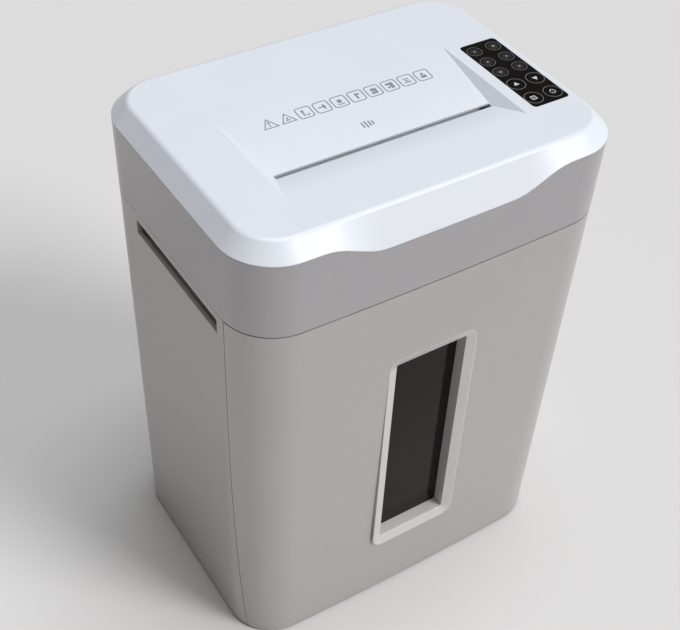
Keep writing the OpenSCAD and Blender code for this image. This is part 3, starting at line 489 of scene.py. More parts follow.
@dataclass
class Outline:
    """The outside of the shredder: round corners, a bowed front, draft and a lip in the rim."""

    half_width: float = 190.0
    half_depth: float = 140.5
    corner: float = 49.6
    bow: float = 2.0
    draft_x: float = 4.9
    draft_y: float = 7.2
    base_z: float = 3.0
    seam_z: float = 431.0
    rim_z: float = 505.5
    top_z: float = 521.5
    lip_drop: float = 17.0
    lip_flat: float = 63.0
    lip_ramp: float = 60.0
    wall: float = 3.0
    side_seam_y: float = -93.5
    bend_z: float = 320.0
    seam_curve: float = 0.00013

    @classmethod
    def from_frame(cls) -> "Outline":
        """The outline with its sizes read from the CAD boxes."""
        head_low, head_high = box_mm("head_housing")
        rim_low, rim_high = box_mm("top_cover")
        base_low, _ = box_mm("cabinet_left")
        return cls(half_width=head_high.x, half_depth=head_high.y, base_z=base_low.z,
                   seam_z=head_low.z, rim_z=head_high.z, top_z=rim_high.z)

    def rise(self, z: float) -> float:
        """Share of the draft still missing at a height."""
        return 1 - min(1.0, max(0.0, (z - self.base_z) / (self.rim_z - self.base_z)))

    def half_w(self, z: float) -> float:
        """Half width at a height."""
        return self.half_width - self.draft_x * self.rise(z)

    def half_d(self, z: float) -> float:
        """Half depth at a height."""
        return self.half_depth - self.draft_y * self.rise(z)

    def bow_at(self, x: float) -> float:
        """How far the front stands out of the flat at x."""
        share = x / (self.half_width - self.corner)
        return self.bow * max(0.0, 1 - share * share)

    def lip_at(self, x: float) -> float:
        """How far the rim's lower edge drops at x on the front."""
        past = abs(x) - self.lip_flat
        if past <= 0:
            return self.lip_drop
        if past >= self.lip_ramp:
            return 0.0
        return self.lip_drop * (1 + math.cos(math.pi * past / self.lip_ramp)) / 2

    def seam_y(self, z: float) -> float:
        """Front edge of the side panels at a height."""
        below = max(0.0, self.bend_z - z)
        return self.side_seam_y - self.seam_curve * below * below

    def columns(self, with_lip: bool) -> list[float]:
        """Where the front is divided so that it can follow its curves.

        Args:
            with_lip: whether the lip's ramps are divided finely.

        Returns:
            Places along x in millimetres.
        """
        edge = self.half_width - self.corner
        places = {round(edge * (i / 8 - 1), 3) for i in range(1, 16)}
        if with_lip:
            steps = 14
            ramp = [self.lip_flat + self.lip_ramp * i / steps for i in range(steps + 1)]
            places = {p for p in places if not self.lip_flat - 4 < abs(p) < ramp[-1] + 4}
            places |= {round(side * x, 3) for side in (-1, 1) for x in ramp}
        return sorted(places)

    def blank(self, name: str, low_z: float, high_z: float, inset: float = 0.0) -> Solid:
        """A solid with round upright corners between two heights, with its draft but no bow.

        Args:
            name: name of the new object.
            low_z: height of its foot.
            high_z: height of its top.
            inset: how far it stays inside the outline.

        Returns:
            The solid.
        """
        w, d = self.half_w(high_z) - inset, self.half_d(high_z) - inset
        piece = block(name, (-w, -d + self.bow, low_z), (w, d, high_z))
        round_corners(piece, self.corner - inset, 18)
        scale = ((self.half_w(low_z) - inset) / w, (self.half_d(low_z) - inset) / d, 1.0)
        with editing(piece):
            select(piece, Pick.VERTS, lambda v: v.co.z < (low_z + 0.01) * MM)
            bpy.ops.transform.resize(value=scale, center_override=(0, 0, low_z * MM))
        return piece

    def follow_front(self, piece: Solid, lip_below: Optional[float] = None) -> None:
        """Divides the front into columns and moves each by the bow, and its low edge by the lip.

        Args:
            piece: the blank.
            lip_below: vertices of the front under this height drop with the lip.
        """
        near = NEAR * MM
        front = -self.half_depth / 2 * MM
        outer = -(self.half_depth - self.bow - 6) * MM
        columns = self.columns(lip_below is not None)
        with editing(piece):
            for x in columns:
                slice_at(0, x)
            for x in columns:
                select(piece, Pick.VERTS,
                       lambda v: abs(v.co.x - x * MM) < near and v.co.y < front)
                slide((0, -self.bow_at(x), 0))
                drop = self.lip_at(x)
                if lip_below is not None and drop:
                    select(piece, Pick.VERTS,
                           lambda v: (abs(v.co.x - x * MM) < near and v.co.y < outer
                                      and abs(v.co.z / MM - lip_below) < 2.5))
                    slide((0, 0, -drop))

    def shell(self, name: str, low_z: float, high_z: float,
              lip: bool = False) -> Solid:
        """A ring of wall thickness that follows the outline.

        Args:
            name: name of the new object.
            low_z: height of its foot.
            high_z: height of its top.
            lip: whether its top edge drops with the lip.

        Returns:
            The ring.
        """
        ring = self.blank(name, low_z, high_z)
        self.follow_front(ring, high_z if lip else None)
        core = self.blank("core", low_z, high_z, self.wall)
        self.follow_front(core)
        with editing(core):
            for height, stretch in ((high_z, 30.0), (low_z, -30.0)):
                select(core, Pick.FACES,
                       lambda f: abs(f.calc_center_median().z / MM - height) < 0.5)
                slide((0, 0, stretch))
        cut(ring, core)
        return ring

    def seam_block(self, shift: float, far_y: float) -> Solid:
        """A block whose one face follows the side seam, to part the sides from the bin front.

        Args:
            shift: how far the face is moved along y.
            far_y: where the block ends on the other side.

        Returns:
            The block.
        """
        low_z, high_z = self.base_z - 5, self.seam_z + 40
        reach = self.half_width + 10
        ends = sorted((self.side_seam_y + shift, far_y))
        piece = block("seam_block", (-reach, ends[0], low_z), (reach, ends[1], high_z))
        levels = [low_z + (self.bend_z - low_z) * i / 12 for i in range(12)]
        with editing(piece):
            for z in levels[1:] + [self.bend_z]:
                slice_at(2, z)
            for z in levels:
                select(piece, Pick.VERTS,
                       lambda v: (abs(v.co.z - z * MM) < NEAR * MM
                                  and abs(v.co.y / MM - self.side_seam_y - shift) < 1))
                slide((0, self.seam_y(z) - self.side_seam_y, 0))
        return piece


# ---------------------------------------------------------------- sub-assemblies

@dataclass
class Cabinet:
    """The fixed lower part: two sides with hand grips, the rear panel and the feet."""

    outline: Outline
    panel_gap: float = 0.25
    grip_length: float = 150.0
    grip_height: float = 19.0
    grip_z: float = 413.5
    grip_y: float = -8.0
    grip_slope: float = 7.0
    grip_reach: float = 12.0
    foot_radius: float = 11.0

    def build(self) -> None:
        """Builds and dresses every visible piece of the cabinet."""
        self.side("cabinet_side_left", -1, "cabinet_left")
        self.side("cabinet_side_right", 1, "cabinet_right")
        self.rear()
        self.feet()

    def side(self, name: str, side: int, node: str) -> None:
        """One side panel with its grip opening.

        Args:
            name: name of the piece.
            side: -1 for the left, 1 for the right.
            node: the CAD node that it stands for.
        """
        o = self.outline
        panel = o.shell(name, o.base_z, o.seam_z - 0.3)
        cut(panel, o.seam_block(0, -o.half_depth - PAST))
        flat_x = o.half_width - o.corner + self.panel_gap
        reach = o.half_depth + PAST
        inner = sorted((side * flat_x, -side * (o.half_width + PAST)))
        cut(panel, block("middle", (inner[0], -reach, -PAST), (inner[1], reach, o.seam_z + PAST)))
        self.open_grip(panel, side)
        ease_edges(panel, 0.7, 3)
        shade(panel)
        dress(panel, TAUPE_ABS, "taupe_plastic", "cabinet", node)

    def open_grip(self, panel: Solid, side: int) -> None:
        """Cuts the grip opening, with its lower lip sloped for the fingers."""
        o = self.outline
        half_l, half_h = self.grip_length / 2, self.grip_height / 2
        ends = sorted((side * (o.half_width - self.grip_reach), side * (o.half_width + self.grip_reach)))
        lip_z = self.grip_z - half_h + self.grip_slope - 1.5
        hole = block("grip_hole", (ends[0], self.grip_y - half_l, lip_z),
                     (ends[1], self.grip_y + half_l, self.grip_z + half_h))
        round_corners(hole, 2.0, 4, along_x)
        slope = block("grip_slope", (ends[0], self.grip_y - half_l, lip_z - self.grip_slope),
                      (ends[1], self.grip_y + half_l, lip_z + 3))
        with editing(slope):
            select(slope, Pick.VERTS, lambda v: abs(v.co.x) < o.half_width * MM and v.co.z < lip_z * MM)
            slide((side * (self.grip_reach - o.wall - 2), 0, self.grip_slope))
        cut(panel, hole)
        cut(panel, slope)

    def rear(self) -> None:
        """The rear panel between the two sides."""
        o = self.outline
        panel = o.shell("cabinet_back", o.base_z, o.seam_z - 0.3)
        flat_x = o.half_width - o.corner - self.panel_gap
        reach = o.half_depth + PAST
        for side in (-1, 1):
            ends = sorted((side * flat_x, side * (o.half_width + PAST)))
            cut(panel, block("side", (ends[0], -reach, -PAST), (ends[1], reach, o.seam_z + PAST)))
        cut(panel, block("front", (-reach * 2, -reach, -PAST), (reach * 2, 0, o.seam_z + PAST)))
        ease_edges(panel, 0.6, 2)
        shade(panel)
        dress(panel, TAUPE_ABS, "taupe_plastic", "cabinet", "cabinet_rear")

    def feet(self) -> None:
        """Four stepped rubber feet under the base."""
        low, high = box_mm("rubber_feet")
        radius, taper = self.foot_radius, 0.8
        first = drum("foot", (low.x + radius, low.y + radius, 0), radius - taper, high.z, 40)
        with editing(first):
            select(first, Pick.FACES, faces_down)
            bpy.ops.mesh.inset(thickness=1.2 * MM)
            bpy.ops.mesh.inset(thickness=5.2 * MM, depth=-1.0 * MM)
            select(first, Pick.VERTS, lambda v: v.co.z > high.z * 0.9 * MM)
            centre = metres((low.x + radius, low.y + radius, high.z))
            bpy.ops.transform.resize(value=(radius / (radius - taper),) * 2 + (1,), center_override=centre)
        ease_edges(first, 0.35, 2)
        reach_x, reach_y = high.x - low.x - 2 * radius, high.y - low.y - 2 * radius
        others = [copy_to(first, "foot", (dx, dy, 0))
                  for dx, dy in ((reach_x, 0), (0, reach_y), (reach_x, reach_y))]
        feet = merge("feet", [first] + others)
        shade(feet)
        dress(feet, RUBBER, "rubber", "cabinet", "rubber_feet")


@dataclass
class Head:
    """The fixed upper part: the taupe band, the white lid with its feed recess and symbols."""

    outline: Outline
    rim_inset: float = 14.4
    rim_round: float = 2.6
    lid_gap: float = 0.35
    feed_x: float = -3.2
    slot_y: float = -44.5
    slot_length: float = 219.6
    slot_gap: float = 5.4
    recess_depth: float = 7.8
    recess_rear: float = 88.0
    recess_front: float = 32.0
    recess_width: float = 242.6
    end_floor: float = 0.6
    symbol_size: float = 15.0
    symbol_line: float = 0.9
    vent_count: int = 13
    vent_pitch: float = 9.0
    vent_half: float = 1.5
    gland_radius: float = 9.0
    under: float = 60.0

    def build(self) -> None:
        """Builds and dresses every visible piece of the head."""
        self.band()
        self.lid()
        self.symbols()

    def band(self) -> None:
        """The taupe band under the lid, with vents and the cord hole in its back."""
        o = self.outline
        band = o.shell("head_band", o.seam_z + 0.1, o.rim_z, lip=True)
        rear, through = o.half_depth, 12
        vents = []
        for i in range(self.vent_count):
            x = (i - (self.vent_count - 1) / 2) * self.vent_pitch
            vents.append(block("vent", (x - self.vent_half, rear - through, o.seam_z + 22),
                               (x + self.vent_half, rear + through, o.seam_z + 54)))
        slots = merge("vents", vents)
        round_corners(slots, 1.4, 4, along_y)
        cut(band, slots)
        middle = middle_of("cord_gland")
        cut(band, drum("gland_hole", (middle.x, rear + through, middle.z), self.gland_radius,
                       2 * through, 48, (math.pi / 2, 0, 0)))
        ease_edges(band, 0.5, 2)
        shade(band)
        dress(band, HEAD_ABS, "taupe_plastic", "cabinet", "head_housing")

    def lid(self) -> None:
        """The white lid: sloped rim, lip, feed recess, slot and keypad pocket."""
        o = self.outline
        edge_z = o.rim_z + self.lid_gap
        land_z = edge_z + 1.0
        lid = o.blank("lid", edge_z, land_z)
        with editing(lid):
            select(lid, Pick.FACES, faces_up)
            bpy.ops.mesh.inset(thickness=self.rim_inset * MM, depth=(o.top_z - land_z) * MM)
        o.follow_front(lid, edge_z + 0.5)
        with editing(lid):
            select(lid, Pick.EDGES,
                   lambda e: (min(v.co.z for v in e.verts) > (o.top_z - 0.1) * MM
                              and e.calc_face_angle(0) > math.radians(15)))
            bpy.ops.mesh.bevel(offset=self.rim_round * MM, segments=5, profile=0.5, affect="EDGES")
            select(lid, Pick.FACES, faces_up)
            bpy.ops.mesh.dissolve_faces()
        cut(lid, self.recess())
        cut(lid, self.slot())
        half, floor_z = self.slot_length / 2, o.top_z - self.recess_depth
        cut(lid, block("guide", (self.feed_x - half, self.slot_y - 6, o.rim_z - self.under),
                       (self.feed_x + half, self.slot_y + 9, floor_z - 1.6)))
        low, high = box_mm("keypad_panel")
        pocket = block("pocket", (low.x - 0.3, low.y - 0.3, o.top_z - 1.7),
                       (high.x + 0.3, high.y + 0.3, o.top_z + 5))
        round_corners(pocket, 4.2, 8)
        cut(lid, pocket)
        cut(lid, block("well", (low.x + 2, low.y + 2, o.rim_z - self.under),
                       (high.x - 2, high.y - 2, o.top_z - 1)))
        hollow = o.blank("hollow", o.rim_z - self.under, o.top_z - 16, 18)
        cut(lid, hollow)
        ease_edges(lid, 0.45, 2, 28)
        shade(lid, 30)
        dress(lid, WHITE_ABS, "white_plastic", "cabinet", "top_cover")

    def recess(self) -> Solid:
        """The feed recess as a solid: a long slope behind the slot and short ones round it."""
        o = self.outline
        floor_z = o.top_z - self.recess_depth
        back, front = self.slot_y + self.slot_gap / 2, self.slot_y - self.slot_gap / 2
        half = self.recess_width / 2
        piece = block("recess", (self.feed_x - half, front - self.recess_front, floor_z),
                      (self.feed_x + half, back + self.recess_rear, o.top_z))
        end = (self.recess_width - self.slot_length) / 2 - self.end_floor
        moves = (
            (lambda v: v.co.x < self.feed_x * MM, (end, 0, 0)),
            (lambda v: v.co.x > self.feed_x * MM, (-end, 0, 0)),
            (lambda v: v.co.y > back * MM, (0, -self.recess_rear, 0)),
            (lambda v: v.co.y < (front - 1) * MM, (0, self.recess_front, 0)),
        )
        with editing(piece):
            for test, shift in moves:
                select(piece, Pick.VERTS, lambda v: v.co.z < (floor_z + 0.1) * MM and test(v))
                slide(shift)
            select(piece, Pick.FACES, faces_up)
            bpy.ops.mesh.extrude_region_move(TRANSFORM_OT_translate={"value": (0, 0, 0.01)})
        return piece

    def slot(self) -> Solid:
        """The paper slot as a solid."""
        o = self.outline
        half = self.slot_length / 2
        piece = block("slot", (self.feed_x - half, self.slot_y - self.slot_gap / 2, o.rim_z - self.under),
                      (self.feed_x + half, self.slot_y + self.slot_gap / 2, o.top_z + 5))
        round_corners(piece, 1.2, 4)
        return piece

    def symbols(self) -> None:
        """The row of printed pictures on the feed slope: two triangles and eight tiles."""
        low, high = box_mm("safety_symbols")
        pitch = (high.x - low.x - self.symbol_size) / 9
        slope = math.atan(self.recess_depth / self.recess_rear)
        middle = Vector((0, (low.y + high.y) / 2, (low.z + high.z) / 2 - 0.02))
        pieces = []
        for index in range(10):
            place = Vector((low.x + self.symbol_size / 2 + pitch * index, middle.y, middle.z - 0.1))
            pieces.append(self.triangle(place) if index < 2 else self.tile(place))
            pieces += self.glyph(index, place)
        sheet = Vector((self.feed_x - 3.0, self.slot_y + 25, 0))
        sheet.z = middle.z - 0.1
        for dx, tall in ((-5.0, 7.0), (-1.6, 9.0), (1.8, 7.0), (5.0, 5.0)):
            pieces.append(block("bar", sheet + Vector((dx - 0.65, -tall / 2, 0)),
                                sheet + Vector((dx + 0.65, tall / 2, 0.19))))
        row = merge("printed_symbols", pieces)
        with editing(row):
            bpy.ops.mesh.select_all(action="SELECT")
            bpy.ops.transform.rotate(value=-slope, orient_axis="X", center_override=metres(middle))
        dress(row, GREY_INK, "symbol_ink", "cabinet", "safety_symbols")

    def tile(self, place: Vector) -> Solid:
        """One printed square outline with round corners, as a thin frame."""
        half = self.symbol_size / 2
        tile = block("tile", place - Vector((half, half, 0)), place + Vector((half, half, 0.2)))
        round_corners(tile, 3.0, 5)
        inner = half - self.symbol_line
        hole = block("hole", place - Vector((inner, inner, 1)), place + Vector((inner, inner, 1)))
        round_corners(hole, 3.0 - self.symbol_line, 5)
        cut(tile, hole)
        return tile

    def triangle(self, place: Vector) -> Solid:
        """One printed triangle outline, as a thin frame."""
        radius = self.symbol_size / math.sqrt(3)
        foot = place - Vector((0, self.symbol_size / 8, 0))
        tile = drum("triangle", foot, radius, 0.2, 3)
        cut(tile, drum("hole", foot - Vector((0, 0, 1)), radius - 2 * self.symbol_line, 3, 3))
        return tile

    def glyph(self, index: int, place: Vector) -> list[Solid]:
        """Simple generic shapes inside one picture.

        Args:
            index: which picture of the row.
            place: its middle.

        Returns:
            The shapes.
        """
        def bar(x0: float, y0: float, x1: float, y1: float) -> Solid:
            """A printed bar between two corners."""
            return block("bar", place + Vector((x0, y0, 0)), place + Vector((x1, y1, 0.19)))

        def dot(x: float, y: float, radius: float) -> Solid:
            """A printed dot."""
            return drum("dot", place + Vector((x, y, 0)), radius, 0.18, 20)

        shapes = {
            0: lambda: [bar(-0.6, -1.6, 0.6, 2.6), dot(0, -3.2, 0.8)],
            1: lambda: [bar(-2.2, -3.4, 2.2, -2.4), dot(0, -0.6, 1.1)],
            2: lambda: [dot(-1.5, 2.2, 1.4), bar(-2.3, -4.0, -0.9, 1.2), bar(0.4, -4.0, 3.6, -2.8)],
            3: lambda: [bar(-3.6, -0.7, 3.2, 0.7), bar(1.2, -3.4, 2.6, 3.2)],
            4: lambda: [dot(0, 0.4, 2.3), bar(-3.6, -4.2, 3.6, -3.2)],
            5: lambda: [bar(-0.9, -3.8, 0.9, 3.8), dot(2.4, 2.2, 1.2)],
            6: lambda: [dot(-0.4, 1.4, 2.2), bar(-3.0, -4.0, 3.2, -1.4), bar(1.4, -1.4, 3.4, 2.8)],
            7: lambda: [bar(-3.6, 1.0, 3.6, 3.8), bar(-0.2, -4.0, 3.2, 1.0), dot(-2.2, -2.2, 1.3)],
            8: lambda: [bar(-3.4, -3.4, 3.4, -2.2), bar(-2.0, -0.9, 2.0, 0.3), bar(-2.8, 1.6, 2.8, 2.8)],
            9: lambda: [dot(0, 2.0, 1.5), bar(-2.8, -3.6, 2.8, -0.2)],
        }
        return shapes[index]()


@dataclass
class Bin:
    """The pull-out bin: its curved front, window frame and bucket; its smoked pane stays the CAD node."""

    outline: Outline
    side_gap: float = 0.8
    top_gap: float = 1.2
    frame_flat: float = 1.3
    frame_slope_depth: float = 3.6
    frame_band: float = 10.5
    bucket_height: float = 376.0
    bucket_wall: float = 2.2
    bucket_round: float = 31.0

    def build(self) -> None:
        """Builds and dresses every visible piece of the bin."""
        self.front()
        self.window_frame()
        self.bucket()

    def front(self) -> None:
        """The curved front shell with the window opening."""
        o = self.outline
        top_z = o.seam_z - self.top_gap
        shell = o.shell("bin_shell", o.base_z, top_z)
        low, high = box_mm("window_bezel")
        bucket_low, _ = box_mm("bin_bucket")
        top = o.blank("top_plate", top_z - 3, top_z, o.wall / 2)
        cut(top, block("behind", (-300, bucket_low.y + 2, top_z - 20), (300, 300, top_z + 20)))
        foot = o.blank("foot_plate", o.base_z, o.base_z + 3, o.wall / 2)
        cut(foot, block("behind", (-300, bucket_low.y, -20), (300, 300, 20)))
        weld(shell, top)
        weld(shell, foot)
        cut(shell, o.seam_block(-self.side_gap, o.half_depth + PAST))
        hole = block("window_hole", (low.x - 0.15, -o.half_depth - PAST, low.z - 0.15),
                     (high.x + 0.15, 0, high.z + 0.15))
        round_corners(hole, 12.6, 10, along_y)
        cut(shell, hole)
        ease_edges(shell, 1.2, 4)
        shade(shell)
        dress(shell, TAUPE_ABS, "taupe_plastic", "bin", "bin_front")

    def window_frame(self) -> None:
        """The polished frame: a narrow flat, a wide slope and deep straight reveals."""
        low, high = box_mm("window_bezel")
        piece = block("window_frame", (low.x, low.y, low.z), (high.x, low.y + 3, high.z))
        round_corners(piece, 12.5, 10, along_y)
        with editing(piece):
            select(piece, Pick.FACES, faces_front)
            bpy.ops.mesh.inset(thickness=self.frame_flat * MM)
            bpy.ops.mesh.inset(thickness=(self.frame_band - self.frame_flat) * MM,
                               depth=-self.frame_slope_depth * MM)
            bpy.ops.mesh.extrude_region_move(
                TRANSFORM_OT_translate={"value": (0, (high.y - low.y - self.frame_slope_depth) * MM, 0)})
            bpy.ops.mesh.delete(type="FACE")
            select(piece, Pick.FACES, faces_back)
            bpy.ops.mesh.delete(type="FACE")
        add_modifier(piece, "SOLIDIFY", thickness=1.6 * MM, offset=-1, use_even_offset=True)
        ease_edges(piece, 1.6, 4, 18)
        shade(piece)
        dress(piece, FRAME_ABS, "frame_plastic", "bin", "window_bezel")

    def bucket(self) -> None:
        """The waxy bucket with a rounded foot, an upright plate over its front and the window opening."""
        low, high = box_mm("bin_bucket")
        window_low, window_high = box_mm("window_bezel")
        rim_z, wall = low.z + self.bucket_height, self.bucket_wall
        piece = block("bucket", (low.x, low.y, low.z), (high.x, high.y, rim_z))
        round_corners(piece, self.bucket_round, 12)
        with editing(piece):
            select(piece, Pick.EDGES, lambda e: max(v.co.z for v in e.verts) < (low.z + 1) * MM)
            bpy.ops.mesh.bevel(offset=8 * MM, segments=5, profile=0.5, affect="EDGES")
            select(piece, Pick.FACES, faces_up)
            bpy.ops.mesh.inset(thickness=wall * MM)
            bpy.ops.mesh.extrude_region_move(
                TRANSFORM_OT_translate={"value": (0, 0, (low.z + wall - rim_z) * MM)})
        band = self.frame_band
        hole = block("bucket_window", (window_low.x + band, low.y - 5, window_low.z + band),
                     (window_high.x - band, low.y + 5, window_high.z - band))
        round_corners(hole, 6.0, 6, along_y)
        cut(piece, hole)
        plate = block("tall_front", (low.x + self.bucket_round, low.y, rim_z - 4),
                      (high.x - self.bucket_round, low.y + wall, high.z))
        weld(piece, plate)
        ease_edges(piece, 0.5, 2)
        shade(piece)
        dress(piece, BUCKET_PP, "bucket_plastic", "bin", "bin_bucket")


class Mark(Enum):
    """Generic mark on a key."""

    UP = "up"
    DOWN = "down"
    SQUARE = "square"
    RING = "ring"


@dataclass
class Keypad:
    """The gloss keypad: panel, four keys with their marks and six lamp windows."""

    outline: Outline
    key_radius: float = 6.8
    lens_radius: float = 5.4
    key_marks: dict[str, Mark] = field(default_factory=lambda: {
        "key_power": Mark.SQUARE, "key_auto": Mark.RING,
        "key_forward": Mark.DOWN, "key_reverse": Mark.UP})
    key_bodies: dict[str, str] = field(default_factory=lambda: {
        "key_power": "power_key", "key_auto": "auto_key",
        "key_forward": "forward_key", "key_reverse": "reverse_key"})
    gap_x: float = 21.6
    sink: float = 0.1
    ink: float = 0.1
    bite: float = 0.02
    key_ring: Sequence[float] = (8.9, 0.7)
    lens_ring: Sequence[float] = (7.3, 0.55)
    lens_rows: tuple[float, ...] = (43.7, 23.7, 4.5)

    def build(self) -> None:
        """Builds and dresses every visible piece of the keypad."""
        self.panel()
        for node in self.key_marks:
            self.key(node)
        self.lenses()
        self.rings()
        self.lamp_marks()

    def centre(self) -> Vector:
        """Middle of the panel's face."""
        middle = middle_of("keypad_panel")
        middle.z = self.outline.top_z - self.sink
        return middle

    def lens_places(self) -> list[Vector]:
        """Middles of the six lamp windows."""
        middle = self.centre()
        return [middle + Vector((side * self.gap_x / 2, row, 0))
                for row in self.lens_rows for side in (-1, 1)]

    def panel(self) -> None:
        """The panel, with wells for the keys and shallow seats for the lamp windows."""
        low, high = box_mm("keypad_panel")
        top = self.outline.top_z - self.sink
        panel = block("keypad_face", (low.x, low.y, top - 1.6), (high.x, high.y, top))
        round_corners(panel, 4.0, 8)
        for node in self.key_marks:
            middle = middle_of(node)
            cut(panel, drum("key_well", (middle.x, middle.y, top - 5), self.key_radius + 0.3, 10, 64))
        for place in self.lens_places():
            cut(panel, drum("lens_seat", (place.x, place.y, top - 0.8), self.lens_radius + 0.05, 5, 48))
        ease_edges(panel, 0.3, 2)
        shade(panel)
        dress(panel, GLOSS_BLACK, "gloss_black", "cabinet", "keypad_panel")

    def disc(self, name: str, place: Vector, radius: float, height: float) -> Solid:
        """A round button face, dished a little for the fingertip.

        Args:
            name: name of the piece.
            place: middle of its foot.
            radius: its radius.
            height: its height.

        Returns:
            The disc.
        """
        disc = drum(name, place, radius, height, 48)
        with editing(disc):
            select(disc, Pick.FACES, faces_up)
            bpy.ops.mesh.inset(thickness=0.9 * MM)
            bpy.ops.mesh.inset(thickness=1.2 * MM, depth=-0.12 * MM)
        ease_edges(disc, 0.3, 2, 50)
        shade(disc)
        return disc

    def key(self, node: str) -> None:
        """One key cap with its mark, riding on its own body."""
        low, high = box_mm(node)
        middle = (low + high) / 2
        place = Vector((middle.x, middle.y, self.outline.top_z - 3.0))
        cap = self.disc(node + "_cap", place, self.key_radius, high.z - place.z)
        dress(cap, GLOSS_BLACK, "gloss_black", self.key_bodies[node], node)
        mark = self.mark(node + "_mark", self.key_marks[node], Vector((middle.x, middle.y, high.z - 0.14)))
        dress(mark, WHITE_INK, "symbol_ink", self.key_bodies[node])

    def mark(self, name: str, kind: Mark, place: Vector) -> Solid:
        """A small printed mark on a key.

        Args:
            name: name of the piece.
            kind: which mark.
            place: middle of its foot.

        Returns:
            The mark.
        """
        thick = self.ink
        if kind in (Mark.UP, Mark.DOWN):
            mark = drum(name, place, 3.3, thick, 3)
            turn = math.pi if kind is Mark.DOWN else 0.0
            with editing(mark):
                bpy.ops.mesh.select_all(action="SELECT")
                bpy.ops.transform.rotate(value=turn, orient_axis="Z", center_override=metres(place))
        elif kind is Mark.SQUARE:
            mark = block(name, place - Vector((2.7, 2.7, 0)), place + Vector((2.7, 2.7, thick)))
            cut(mark, block("hole", place - Vector((1.8, 1.8, 1)), place + Vector((1.8, 1.8, 1))))
            mark = merge(name, [mark, drum("dot", place, 0.8, thick, 16)])
        else:
            mark = self.ring(name, place, 2.9, 0.8)
            mark = merge(name, [mark, block("bar", place - Vector((0.4, 0.6, 0)),
                                            place + Vector((0.4, 3.6, thick)))])
        round_corners(mark, 0.25, 2)
        return mark

    def lenses(self) -> None:
        """Six lamp windows in the seats of the panel."""
        places = self.lens_places()
        seat = places[0] - Vector((0, 0, 0.8))
        first = self.disc("lens", seat, self.lens_radius - 0.1, 0.85)
        rest = [copy_to(first, "lens", place - places[0]) for place in places[1:]]
        lenses = merge("lamp_windows", [first] + rest)
        dress(lenses, LENS_PC, "lens_plastic", "cabinet", "indicator_lenses")

    def ring(self, name: str, place: Vector, radius: float, width: float) -> Solid:
        """A printed ring: a flat washer a tenth of a millimetre thick.

        Args:
            name: name of the piece.
            place: its middle.
            radius: outer radius.
            width: width of the line.

        Returns:
            The ring.
        """
        ring = drum(name, place, radius, self.ink, 48)
        cut(ring, drum("ring_hole", place - Vector((0, 0, 1)), radius - width, 3, 48))
        return ring

    def rings(self) -> None:
        """The ten printed rings round the keys and the lamp windows."""
        foot = Vector((0, 0, -self.bite))
        pieces = []
        for node in self.key_marks:
            middle = middle_of(node)
            middle.z = self.outline.top_z - self.sink
            pieces.append(self.ring("ring", middle + foot, *self.key_ring))
        for place in self.lens_places():
            pieces.append(self.ring("ring", place + foot, *self.lens_ring))
        rings = merge("keypad_rings", pieces)
        dress(rings, RING_INK, "symbol_ink", "cabinet")

    def lamp_marks(self) -> None:
        """Small printed marks in the middle of the lamp windows: dots, crosses and wedges."""
        thick = self.ink + self.bite
        pieces = []
        for index, place in enumerate(self.lens_places()):
            foot = place - Vector((0, 0, self.bite))
            if index % 3 == 0:
                pieces.append(drum("dot", foot, 1.1, thick, 20))
            elif index % 3 == 1:
                for x, y, high in ((1.9, 0.5, thick), (0.5, 1.9, thick - 0.01)):
                    pieces.append(block("bar", foot - Vector((x, y, 0)), foot + Vector((x, y, high))))
            else:
                pieces.append(drum("wedge", foot, 1.8, thick, 3))
        marks = merge("lamp_marks", pieces)
        dress(marks, LAMP_INK, "symbol_ink", "cabinet")


# ---------------------------------------------------------------- studio

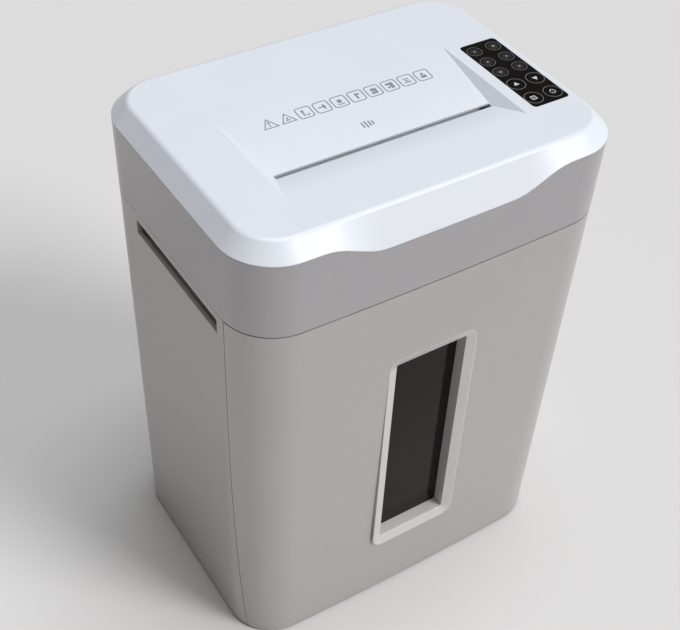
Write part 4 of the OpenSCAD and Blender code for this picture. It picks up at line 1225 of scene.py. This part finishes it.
@dataclass
class Studio:
    """The plain floor, the soft lights and the camera."""

    camera_place: Point = (-515.65, -735.51, 1111.72)
    right: Point = (0.84477856, -0.53355252, 0.04087645)
    up: Point = (0.33967185, 0.59369291, 0.72948733)
    ahead: Point = (0.41348786, 0.60237068, -0.68277182)
    lens: float = 64.98

    def build(self) -> None:
        """Sets up the floor, the light and the camera."""
        self.floor()
        self.light("key_light", (1000, -1500, 1600), 24, 2.35, "#f9f8fa")
        self.light("top_light", (250, 0, 2300), 34, 2.15, "#eef2fa")
        self.sky()
        self.camera()

    def floor(self) -> None:
        """A wide pale floor, with no edge near the shredder."""
        bpy.ops.object.select_all(action="DESELECT")
        bpy.ops.mesh.primitive_plane_add(size=80, location=(0, 0, 0))
        floor = bpy.context.object
        floor.name = "floor"
        paint = Finish("matte_pale_paint", "#cfcdca", "#cccac7", 0.9, grain=4, relief=0.01, cloud=900)
        floor.data.materials.append(paint.material())

    def light(self, name: str, place: Point, spread: float, power: float, colour: str) -> None:
        """One wide, far and soft light that looks at the middle of the shredder.

        Args:
            name: name of the light.
            place: a point that it shines from, in millimetres.
            spread: the angle that it fills, in degrees.
            power: its power in watts per square metre.
            colour: its colour.
        """
        data = bpy.data.lights.new(name, "SUN")
        data.energy, data.angle = power, math.radians(spread)
        data.color = linear(colour)[:3]
        lamp = bpy.data.objects.new(name, data)
        bpy.context.collection.objects.link(lamp)
        lamp.location = metres(place)
        aim = metres((0, 0, 300)) - lamp.location
        lamp.rotation_euler = aim.to_track_quat("-Z", "Y").to_euler()

    def sky(self) -> None:
        """An even pale surround."""
        world = bpy.data.worlds.new("pale_surround")
        bpy.context.scene.world = world
        world.use_nodes = True
        world.node_tree.nodes.clear()
        glow = add_node(world.node_tree, "ShaderNodeBackground",
                        {"Color": linear("#efe9e2"), "Strength": 0.21})
        add_node(world.node_tree, "ShaderNodeOutputWorld", {"Surface": glow.outputs["Background"]})

    def camera(self) -> None:
        """The camera, from its place and its three directions."""
        data = bpy.data.cameras.new("camera")
        data.lens, data.sensor_width = self.lens, 36.0
        camera = bpy.data.objects.new("camera", data)
        bpy.context.collection.objects.link(camera)
        turn = Matrix((self.right, self.up, [-a for a in self.ahead])).transposed()
        camera.matrix_world = Matrix.Translation(metres(self.camera_place)) @ turn.to_4x4()
        bpy.context.scene.camera = camera
        bpy.context.scene.view_settings.view_transform = "Standard"


def main() -> None:
    """Builds the shredder piece by piece and reports each."""
    logging.basicConfig(level=logging.INFO, format="%(name)s %(message)s")
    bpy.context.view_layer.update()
    outline = Outline.from_frame()
    dress_frame()
    Studio().build()
    for assembly in (Cabinet(outline), Head(outline), Bin(outline), Keypad(outline)):
        LOG.info("building the %s", type(assembly).__name__.lower())
        assembly.build()


if __name__ == "__main__":
    main()
